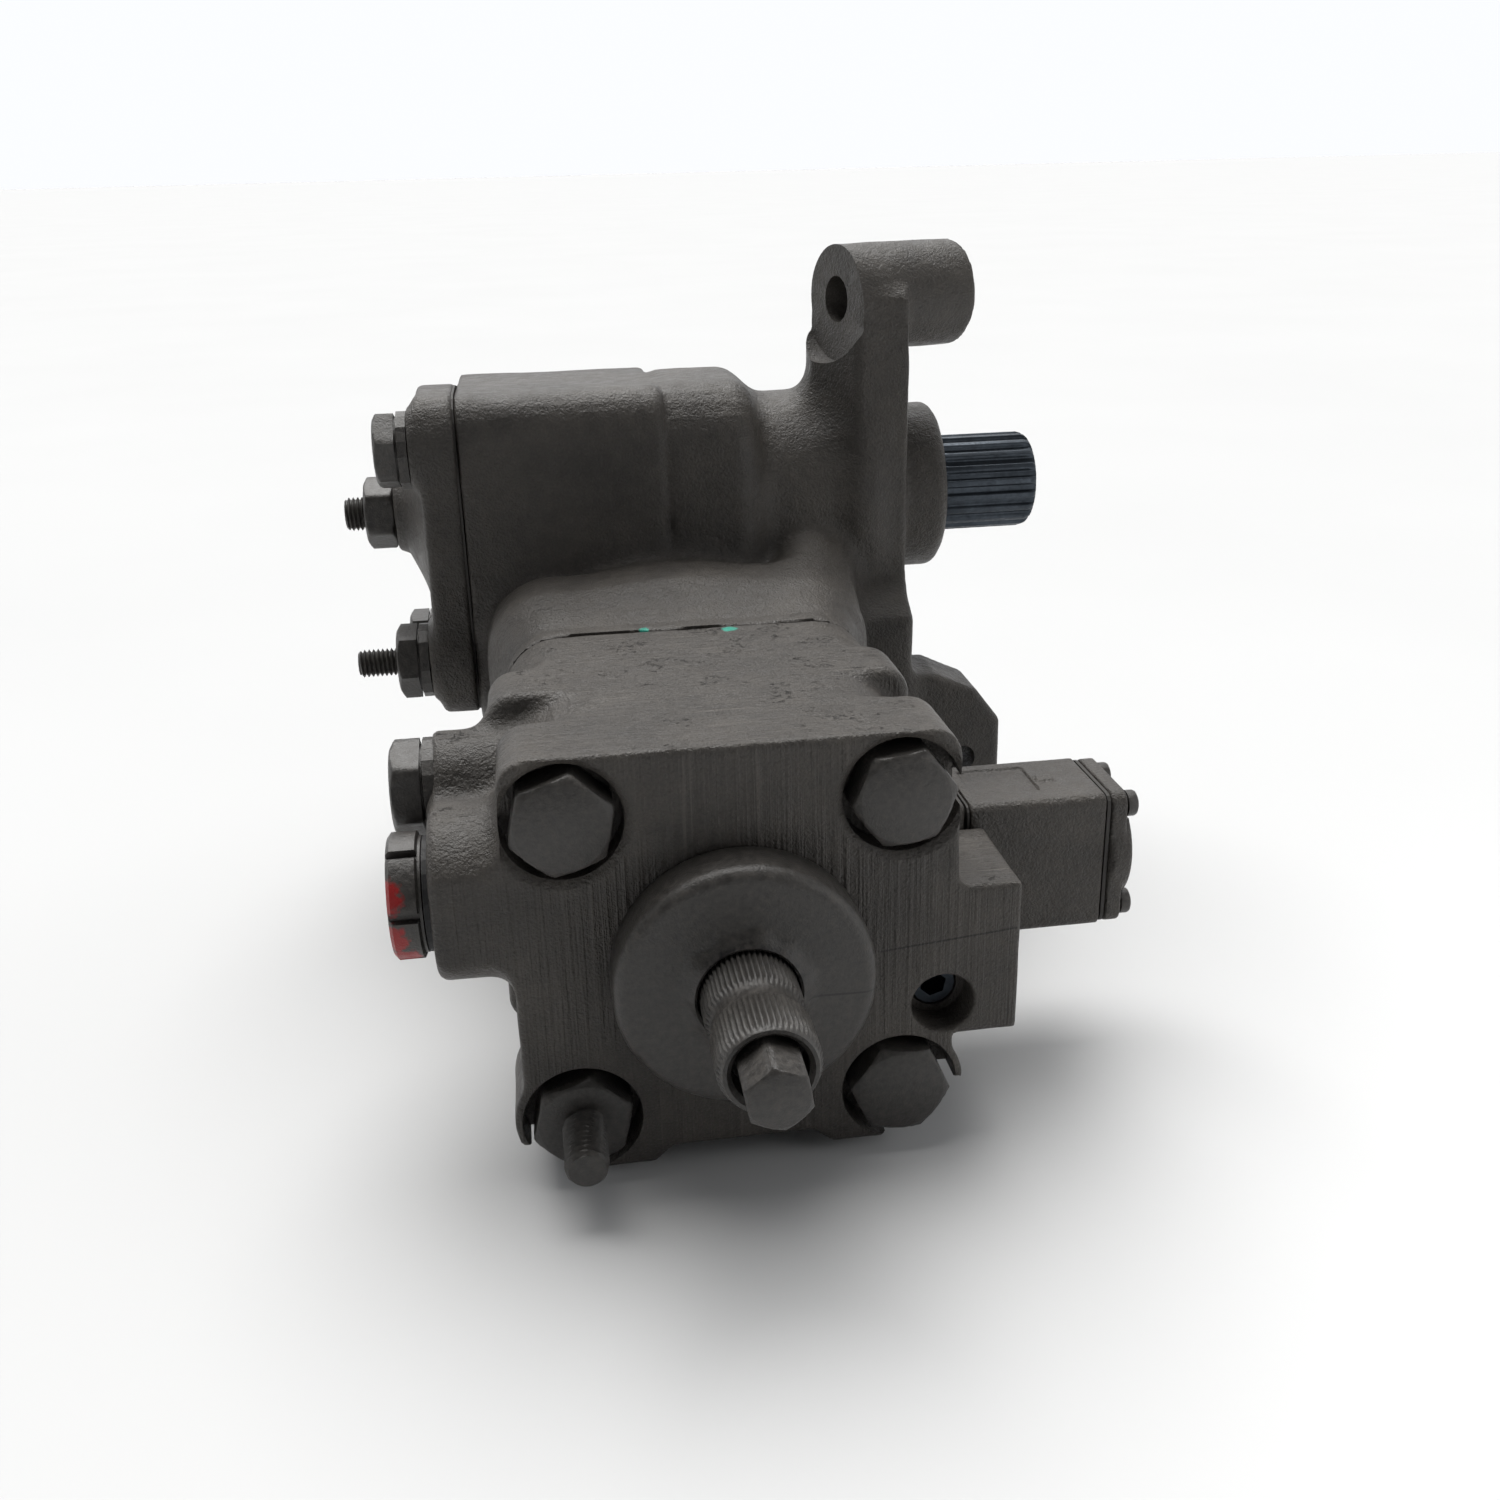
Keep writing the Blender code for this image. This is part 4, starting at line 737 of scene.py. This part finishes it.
def facing(tree, vector):
    """1 where the surface's normal points along vector, 0 elsewhere."""
    geometry = tree.nodes.new("ShaderNodeNewGeometry")
    dot = tree.nodes.new("ShaderNodeVectorMath")
    dot.operation = "DOT_PRODUCT"
    dot.inputs[1].default_value = vector
    tree.links.new(geometry.outputs["Normal"], dot.inputs[0])
    return reshape(tree, dot.outputs["Value"], 0.93, 0.99, 0, 1)


def painted_cast(name, machined=()):
    """Thin satin paint over rough cast iron; machined faces show streaks, and upward ones pits, instead.

    Each machined face is (direction of its normal, features per metre along X, Y and Z, contrast).
    """
    material, tree, shader, coordinates = surface(name, MIDDLE, 0.45)
    shader.inputs["Specular IOR Level"].default_value = 0.35
    broad = noise(tree, coordinates, 45, 3)
    patch = noise(tree, coordinates, 260, 5)
    grain = noise(tree, coordinates, 1300, 2)
    tone = maths(tree, "ADD", maths(tree, "MULTIPLY", broad, 0.45), maths(tree, "MULTIPLY", patch, 0.25))
    tone = maths(tree, "ADD", tone, maths(tree, "MULTIPLY", grain, 0.3))
    colour = ramp(tree, tone, [(0.36, DARK), (0.50, MIDDLE), (0.64, LIGHT)])
    lumps = noise(tree, coordinates, 420, 4)
    heights = [(lumps, 0.00055), (grain, 0.00042)]
    rough = reshape(tree, patch, 0.3, 0.7, 0.36, 0.58)
    for direction, stretch, contrast in machined:
        mask = facing(tree, direction)
        lines = noise(tree, coordinates, 1, 3, stretch)
        streak = reshape(tree, lines, 0.42, 0.70, 0, 1)
        heights.append((maths(tree, "MULTIPLY", mask, streak), 0.00030))
        smooth = maths(tree, "SUBTRACT", 1.0, maths(tree, "MULTIPLY", mask, 0.6))
        heights[0] = (maths(tree, "MULTIPLY", heights[0][0], smooth), 0.00055)
        bright = maths(tree, "MULTIPLY", mask, reshape(tree, lines, 0.60, 0.70, 0, contrast))
        colour = mixed(tree, bright, colour, WORN)
    if machined:
        pitted = pits(tree, coordinates)
        heights.append((pitted, -0.0009))
        colour = mixed(tree, maths(tree, "MULTIPLY", pitted, 0.75), colour, PIT)
    tree.links.new(colour, shader.inputs["Base Color"])
    tree.links.new(rough, shader.inputs["Roughness"])
    bumped(tree, shader, heights)
    return material


def pits(tree, coordinates):
    """1 in small ragged casting pits on upward faces, 0 elsewhere."""
    ragged = reshape(tree, noise(tree, coordinates, 520, 5, roughness=0.75), 0.56, 0.60, 0, 1)
    clusters = reshape(tree, noise(tree, coordinates, 95, 1), 0.60, 0.66, 0, 1)
    grouped = maths(tree, "MULTIPLY", ragged, clusters)
    return maths(tree, "MULTIPLY", grouped, facing(tree, (0, 0, 1)))


def scratched(material, start, end, depth_range):
    """Scratch a line between two (X, Z) points in layout mm, on forward faces in a range of Y."""
    tree = material.node_tree
    shader = tree.nodes["Principled BSDF"]
    split = tree.nodes.new("ShaderNodeSeparateXYZ")
    tree.links.new(tree.nodes.new("ShaderNodeTexCoord").outputs["Object"], split.inputs["Vector"])
    slope = (end[1] - start[1]) / (end[0] - start[0])
    level = (start[1] - slope * start[0]) * MM + LAYOUT.z - slope * LAYOUT.x
    line = maths(tree, "ADD", maths(tree, "MULTIPLY", split.outputs["X"], slope), level)
    away = maths(tree, "ABSOLUTE", maths(tree, "SUBTRACT", split.outputs["Z"], line), 0)
    mask = reshape(tree, away, 0.12 * MM, 0.40 * MM, 1, 0)
    for axis, low, high in (("X", start[0], end[0]), ("Y", *depth_range)):
        origin = LAYOUT["XYZ".index(axis)]
        for edge, side in ((low, 1), (high, -1)):
            limit = origin + edge * MM
            inside = reshape(tree, split.outputs[axis], limit, limit + side * MM, 0, 1)
            mask = maths(tree, "MULTIPLY", mask, inside)
    base = shader.inputs["Base Color"].links[0].from_socket
    marred = mixed(tree, maths(tree, "MULTIPLY", mask, 0.8), base, SCRATCH)
    tree.links.new(marred, shader.inputs["Base Color"])


def painted_steel(name):
    """Paint over a smooth forged or turned fastener."""
    material, tree, shader, coordinates = surface(name, MIDDLE, 0.4)
    shader.inputs["Specular IOR Level"].default_value = 0.4
    patch = noise(tree, coordinates, 500, 4)
    fine = noise(tree, coordinates, 1500, 3)
    colour = ramp(tree, patch, [(0.32, SMOOTH_DARK), (0.52, SMOOTH_MIDDLE), (0.75, SMOOTH_LIGHT)])
    tree.links.new(colour, shader.inputs["Base Color"])
    tree.links.new(reshape(tree, patch, 0.3, 0.7, 0.30, 0.50), shader.inputs["Roughness"])
    bumped(tree, shader, [(patch, 0.00018), (fine, 0.00014)])
    return material


def steel(name, colour, roughness):
    """Bare steel with fine machining marks."""
    material, tree, shader, coordinates = surface(name, colour, roughness, 0.95)
    marks = noise(tree, coordinates, 900, 3)
    stain = noise(tree, coordinates, 120, 4)
    lighter = tuple(min(1, part * 1.6) for part in colour)
    tree.links.new(ramp(tree, stain, [(0.35, colour), (0.7, lighter)]), shader.inputs["Base Color"])
    uneven = reshape(tree, marks, 0.3, 0.7, roughness * 0.75, roughness * 1.3)
    tree.links.new(uneven, shader.inputs["Roughness"])
    bumped(tree, shader, [(marks, 0.00003)])
    return material


def rubber(name, colour):
    """Moulded rubber or gasket fibre."""
    material, tree, shader, coordinates = surface(name, colour, 0.65)
    grain = noise(tree, coordinates, 1800, 3)
    lighter = tuple(part * 1.7 for part in colour)
    tree.links.new(ramp(tree, grain, [(0.3, colour), (0.75, lighter)]), shader.inputs["Base Color"])
    tree.links.new(reshape(tree, grain, 0.3, 0.7, 0.55, 0.8), shader.inputs["Roughness"])
    bumped(tree, shader, [(grain, 0.00005)])
    return material


def marked(material, spots, colour):
    """Add dabs of marking paint at spots (centre in layout mm, radius in mm) to a material."""
    tree = material.node_tree
    shader = tree.nodes["Principled BSDF"]
    coordinates = tree.nodes.new("ShaderNodeTexCoord").outputs["Object"]
    base = shader.inputs["Base Color"].links[0].from_socket
    edge = noise(tree, coordinates, 500, 4)
    for centre, radius in spots:
        away = tree.nodes.new("ShaderNodeVectorMath")
        away.operation = "DISTANCE"
        away.inputs[1].default_value = Vector(centre) * MM + LAYOUT
        tree.links.new(coordinates, away.inputs[0])
        unevenness = maths(tree, "MULTIPLY", edge, radius * MM * 1.2)
        ragged = maths(tree, "ADD", away.outputs["Value"], unevenness)
        share = reshape(tree, ragged, radius * MM * 1.75, radius * MM * 1.45, 0, 1)
        base = mixed(tree, share, base, colour)
    tree.links.new(base, shader.inputs["Base Color"])
    return material


cast = painted_cast("painted_cast")
cast_marked = marked(painted_cast("painted_cast_marked"), [((-13.0, 99.6, 60), 1.8)], TEAL)
milled_faces = [((0, -1, 0), (620, 1, 14), 0.3), ((0, 0, 1), (34, 900, 1), 0.6)]
cast_front = marked(painted_cast("painted_cast_machined", milled_faces), [((12.0, 94.4, 59.8), 2.3)], TEAL)
scratched(cast_front, (36.2, -0.8), (74.1, 2.6), (-3, 3))
bolt_paint = painted_steel("painted_fastener")
cover_paint = marked(painted_steel("painted_cover"), [((0, -17, 1.5), 11.5)], DIRT)
scratched(cover_paint, (14.0, -3.0), (33.5, -3.4), (-17, 0))
cap_spots = [((-86.5, 6, 24), 4.5), ((-86.5, 3, 13), 4.5), ((-84, 8, 5), 5)]
cap_paint = marked(painted_steel("painted_cap"), cap_spots, BRIGHT_PAINT)
dark_steel = steel("dark_oiled_steel", (0.040, 0.047, 0.056), 0.48)
LOOKS = {
    "painted_casting": cast,
    "painted_fastener": bolt_paint,
    "dark_steel": dark_steel,
    "bright_steel": steel("ground_steel", (0.42, 0.42, 0.43), 0.22),
    "spring_steel": steel("spring_wire", (0.18, 0.18, 0.19), 0.3),
    "black_rubber": rubber("seal_rubber", (0.010, 0.010, 0.011)),
    "gasket_fibre": rubber("gasket_fibre", (0.020, 0.018, 0.016)),
}


def stand_for(shape, body, slot, material, *nodes):
    """Put a finished piece on a body in place of CAD nodes."""
    shape.data.materials.clear()
    shape.data.materials.append(material)
    for polygon in shape.data.polygons:
        polygon.material_index = 0
    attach(shape, body)
    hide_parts(*nodes)


for part in frame["record"]["subparts"]:
    mesh = frame["nodes"][part["node"]].data
    look = LOOKS[part["material_slot"]]
    if not mesh.materials:
        mesh.materials.append(look)
    for index in range(len(mesh.materials)):
        mesh.materials[index] = look


# ---------------------------------------------------------------- assembly

stand_for(gear_casting(), "housing", "painted_casting", cast_marked, "gear_housing")
stand_for(valve_casting(), "housing", "painted_casting", cast_front, "valve_housing")
stand_for(side_casting(), "housing", "painted_casting", cast, "side_cover")
stand_for(auxiliary_casting(), "housing", "painted_casting", cast, "auxiliary_valve_body")
stand_for(auxiliary_cap(), "housing", "painted_casting", cast, "auxiliary_end_cap")

nodes = ("valve_bolt_1", "valve_bolt_2", "valve_bolt_3", "valve_stud_bolt")
for node, centre, turn in zip(nodes, VALVE_BOLTS, VALVE_BOLT_TURNS):
    stud = VALVE_STUD if node == "valve_stud_bolt" else None
    bolt = hex_bolt("hex_" + node, "Y", centre, VALVE_BOLT_FLATS, turn, VALVE_BOLT_SEAT, VALVE_BOLT_FACE,
                    VALVE_BOLT_SHANK, VALVE_BOLT_END, stud)
    stand_for(bolt, "housing", "painted_fastener", bolt_paint, node)

nodes = ("cover_bolt_1", "cover_bolt_2", "cover_bolt_3", "cover_stud_bolt")
for node, centre, turn in zip(nodes, COVER_BOLTS, COVER_BOLT_TURNS):
    stud = COVER_STUD if node == "cover_stud_bolt" else None
    bolt = hex_bolt("hex_" + node, "X", centre, COVER_BOLT_FLATS, turn, COVER_BOLT_SEAT, COVER_BOLT_FACE,
                    COVER_BOLT_SHANK, COVER_BOLT_END, stud)
    stand_for(bolt, "housing", "painted_fastener", bolt_paint, node)

plug = hex_bolt("hex_plug", "X", PLUG, PORT_PLUG_FLATS, 17, PORT_PLUG_SEAT, PORT_PLUG_FACE,
                PORT_PLUG_SHANK, PORT_PLUG_END)
stand_for(plug, "housing", "painted_fastener", bolt_paint, "hex_port_plug")


def nut_rings():
    """Rings of the adjuster's jam nut, chamfered at both faces, and of its bore."""
    outer_face, inner_face, chamfer = -101.2, -90.8, 1.3
    radius, face_radius, bevel = hexagon(22, 22), 10.4, 2.31
    rings = [(outer_face, 7.4), (outer_face, face_radius)]
    for share in (0.2, 0.5, 0.8, 1):
        rings.append((outer_face + share * chamfer, capped_by(radius, face_radius + share * bevel)))
    for share in (1, 0.8, 0.5, 0.2):
        rings.append((inner_face - share * chamfer, capped_by(radius, face_radius + share * bevel)))
    return rings + [(inner_face, face_radius), (inner_face, 7.4), (-91.6, 6.4), (-100.4, 6.4)]


jam_nut = skinned("jam_nut", "X", SECTOR, nut_rings(), 72, loop=True)
stand_for(jam_nut, "housing", "painted_fastener", bolt_paint, "adjuster_jam_nut")

adjuster_rings = [(-75, 8.5), (-75.3, 8.8), (-79.2, 8.8), (-79.5, 8.5), (-79.5, 5.2)]
adjuster_rings += thread_rings(5.9, 1.5, -80, -108.3)
adjuster = skinned("adjuster", "X", SECTOR, adjuster_rings, 48)
stand_for(adjuster, "housing", "dark_steel", bolt_paint, "adjuster_screw")


def castellated(radius, depth, slots, first, half_width):
    """Radius of a rim with slots across it; first is the angle of one slot in degrees."""
    def reach(angle):
        away = (angle - radians(first) + pi / slots) % (2 * pi / slots) - pi / slots
        return radius - depth if abs(away) * radius < half_width else radius
    return reach


rim = castellated(16.3, 1.9, 6, 176, 1.0)
rim_edge = castellated(15.2, 0.9, 6, 176, 1.0)
cap_rings = [(-60, 8.2), (-60.5, 8.7), (-76, 8.7), (-77.9, 8.7), (-77.9, 14.9), (-78.6, 14.9),
             (-78.6, rim_edge), (-79.1, rim), (-85.4, rim), (-86.3, rim_edge), (-86.5, 13.6),
             (-86.5, 10.5), (-86.0, 10)]
relief_cap = skinned("castellated_cap", "X", RELIEF, cap_rings, 240, sharp=30)
stand_for(relief_cap, "housing", "painted_fastener", cap_paint, "relief_valve_cap")


def crust(radius):
    """Radius of the uneven ridge of dirt round the input shaft."""
    return lambda angle: radius + 0.7 * sin(3 * angle + 0.6) * sin(8 * angle) + 0.5 * cos(angle - pi / 3)


edge_angles = [pi / 12 * step for step in range(7)]
cover_rings = [(-14.0, 12.95), (-17.0, 12.95), (-17.4, 13.6), (-16.4, crust(15)), (-15.0, crust(16.4)),
               (-14.6, 18.6)]
cover_rings += [(-10.8 - 3.8 * cos(angle), 29.5 + 3.8 * sin(angle)) for angle in edge_angles]
cover_rings += [(-1.2, 33.3), (-0.3, 32.6), (-0.3, 24.2), (-11, 24), (-11, 12.95)]
seal_cover = skinned("seal_cover", "Y", INPUT, cover_rings, 144, loop=True)
stand_for(seal_cover, "housing", "painted_casting", cover_paint, "input_seal_cover")


def toothed(radius, depth, teeth):
    """Radius with evenly spaced rounded teeth."""
    return lambda angle: radius - depth * (0.5 + 0.5 * cos(angle * teeth)) ** 1.4


def input_rings():
    """Rings of the input shaft: spool, plain journal, two serrated bands with a groove, and its bore."""
    full, depth = SERRATION_RADIUS, SERRATION_DEPTH
    outline = [(-14.2, full, 0.0), (-15, full, depth), (-27.4, full, depth), (-28.6, 11.7, 0.3),
               (-29.6, 11.1, 0.0), (-33.4, 11.1, 0.0), (-34.4, 11.7, 0.3), (-35.6, full, depth),
               (-47.4, full, depth), (-48.8, 11.8, 0.3), (-49.5, 11.4, 0.0)]
    rings = [(80, 13.6), (16, 13.6), (15, full), (-13.6, full)]
    rings += [(distance, toothed(radius, cut_in, SERRATION_TEETH)) for distance, radius, cut_in in outline]
    return rings + [(-50, 11.1), (-50, 10.2), (-48.8, 9.0), (-41, 9.0), (-41, 5.3), (80, 5.3)]


input_shaft = skinned("serrated_shaft", "Y", INPUT, input_rings(), 324, loop=True)
stand_for(input_shaft, "input_shaft", "painted_fastener", bolt_paint, "input_shaft")

bar_rings = [(103, 4.0), (102.4, 4.8), (90, 4.8), (86, 4.2), (-40, 4.2), (-42, 4.8)]
bar_rings += hex_rings(BAR_FLATS, 39, -42, BAR_END, -1)
torsion_bar = skinned("torsion_bar_hex", "Y", INPUT, bar_rings, 72)
stand_for(torsion_bar, "input_shaft", "painted_fastener", bolt_paint, "torsion_bar")


def splined(radius, depth):
    """Radius of the output spline's section."""
    return lambda angle: radius - depth * min(1, max(0, 0.62 + 1.5 * cos(angle * SPLINE_TEETH)))


def spline_end():
    """The output shaft's splined end, with a centre drilling."""
    full, end = SPLINE_RADIUS, SHAFT_END
    rings = [(96, 15), (96, 17.4), (101.6, 17.4), (102.2, full), (103.2, splined(full, 0.3)),
             (105, splined(full, SPLINE_DEPTH)), (end - 3.2, splined(full, SPLINE_DEPTH)),
             (end - 1.4, splined(16.6, 1.2)), (end - 0.3, splined(15.6, 0.3)), (end, 15.0), (end, 5.0),
             (end - 2.5, 3.2), (end - 4, 0.4)]
    return skinned("spline_end", "X", SECTOR, rings, 320)


def output_shaft():
    """The CAD's sector shaft with a finely shaped spline in place of its plain one."""
    mesh = bpy.data.meshes.new_from_object(frame["nodes"]["sector_shaft"])
    shaft = bpy.data.objects.new("splined_shaft", mesh)
    bpy.context.scene.collection.objects.link(shaft)
    cut(shaft, [hole("X", SECTOR, 40, 99.2, 160, 24)])
    end_piece = spline_end()
    modifier = shaft.modifiers.new("Join", "BOOLEAN")
    modifier.operation = "UNION"
    modifier.solver = "EXACT"
    modifier.object = end_piece
    return applied(shaft, [end_piece])


stand_for(output_shaft(), "sector_shaft", "dark_steel", dark_steel, "sector_shaft")

screw_socket = hexagon(3.2, 20)
screw_rings = [(97, 1.5), (97.4, 1.9), (118.2, 1.9), (118.2, 3.8), (120.4, 3.8), (121, 3.5), (121.3, 2.9),
               (121.4, screw_socket), (119.6, screw_socket)]
for number, centre in enumerate(AUX_SCREWS, 1):
    screw = skinned(f"cap_screw_{number}", "X", centre, screw_rings, 48)
    stand_for(screw, "housing", "painted_fastener", bolt_paint, f"auxiliary_screw_{number}")


def sprung(node):
    """Give a CAD spring a mesh of its own."""
    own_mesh(frame["nodes"][node])


sprung("relief_spring")
sprung("auxiliary_spring")

# ------------------------------------------------------- floor, light, view

def viewpoint():
    """The camera."""
    data = bpy.data.cameras.new("camera")
    data.sensor_width = 36
    data.lens = CAMERA_LENS
    data.clip_start = 0.01
    camera = bpy.data.objects.new("camera", data)
    forward = cos(CAMERA_PITCH)
    ahead = Vector((sin(CAMERA_YAW) * forward, cos(CAMERA_YAW) * forward, -sin(CAMERA_PITCH)))
    level = Vector((cos(CAMERA_YAW), -sin(CAMERA_YAW), 0))
    upright = level.cross(ahead)
    right = level * cos(CAMERA_ROLL) + upright * sin(CAMERA_ROLL)
    above = upright * cos(CAMERA_ROLL) - level * sin(CAMERA_ROLL)
    turn = Matrix((right, above, -ahead)).transposed().to_4x4()
    camera.matrix_world = Matrix.Translation(Vector(CAMERA_PLACE) * MM + LAYOUT) @ turn
    bpy.context.scene.collection.objects.link(camera)
    bpy.context.scene.camera = camera


def sun():
    """A wide soft light from above, leaning a little towards the rear and the left."""
    data = bpy.data.lights.new("overhead", "SUN")
    data.energy = SUN_POWER
    data.color = SUN_COLOUR
    data.angle = radians(SUN_SPREAD)
    light = bpy.data.objects.new("overhead", data)
    light.rotation_euler = (-radians(SUN_BACK), -radians(SUN_LEFT), 0)
    bpy.context.scene.collection.objects.link(light)


def side_fill():
    """A small soft light beside the gear, aimed at its input shaft."""
    data = bpy.data.lights.new("side_fill", "AREA")
    data.energy = FILL_POWER
    data.size = FILL_SIZE
    light = bpy.data.objects.new("side_fill", data)
    light.location = Vector(FILL_PLACE) * MM + LAYOUT
    light.rotation_euler = (-Vector(FILL_PLACE)).to_track_quat("-Z", "Y").to_euler()
    bpy.context.scene.collection.objects.link(light)


def studio():
    """Pale surroundings, darker towards the front; the camera itself sees them white."""
    world = bpy.data.worlds.new("studio")
    bpy.context.scene.world = world
    world.use_nodes = True
    tree = world.node_tree
    background = tree.nodes["Background"]
    split = tree.nodes.new("ShaderNodeSeparateXYZ")
    tree.links.new(tree.nodes.new("ShaderNodeTexCoord").outputs["Generated"], split.inputs["Vector"])
    level = reshape(tree, split.outputs["Y"], -0.15, 0.25, FRONT_LEVEL, WORLD_LEVEL)
    seen = tree.nodes.new("ShaderNodeLightPath").outputs["Is Camera Ray"]
    background.inputs["Color"].default_value = (*SKY_COLOUR, 1)
    tree.links.new(maths(tree, "MAXIMUM", level, seen), background.inputs["Strength"])


def floor():
    """A wide pale floor."""
    material, tree, shader, coordinates = surface("pale_floor", FLOOR_COLOUR, 0.95)
    shader.inputs["Specular IOR Level"].default_value = 0.0
    patch = noise(tree, coordinates, 3, 2)
    lighter = tuple(part * 1.02 for part in FLOOR_COLOUR)
    tree.links.new(ramp(tree, patch, [(0.3, FLOOR_COLOUR), (0.7, lighter)]), shader.inputs["Base Color"])
    mesh = bpy.data.meshes.new("floor")
    sides = ((-1, -1), (1, -1), (1, 1), (-1, 1))
    corners = [(x * FLOOR_REACH, y * FLOOR_REACH, -FLOOR_DROP) for x, y in sides]
    mesh.from_pydata(corners, [], [(0, 1, 2, 3)])
    mesh.materials.append(material)
    shape = bpy.data.objects.new("floor", mesh)
    bpy.context.scene.collection.objects.link(shape)


viewpoint()
sun()
side_fill()
studio()
floor()
bpy.context.scene.view_settings.view_transform = "Standard"
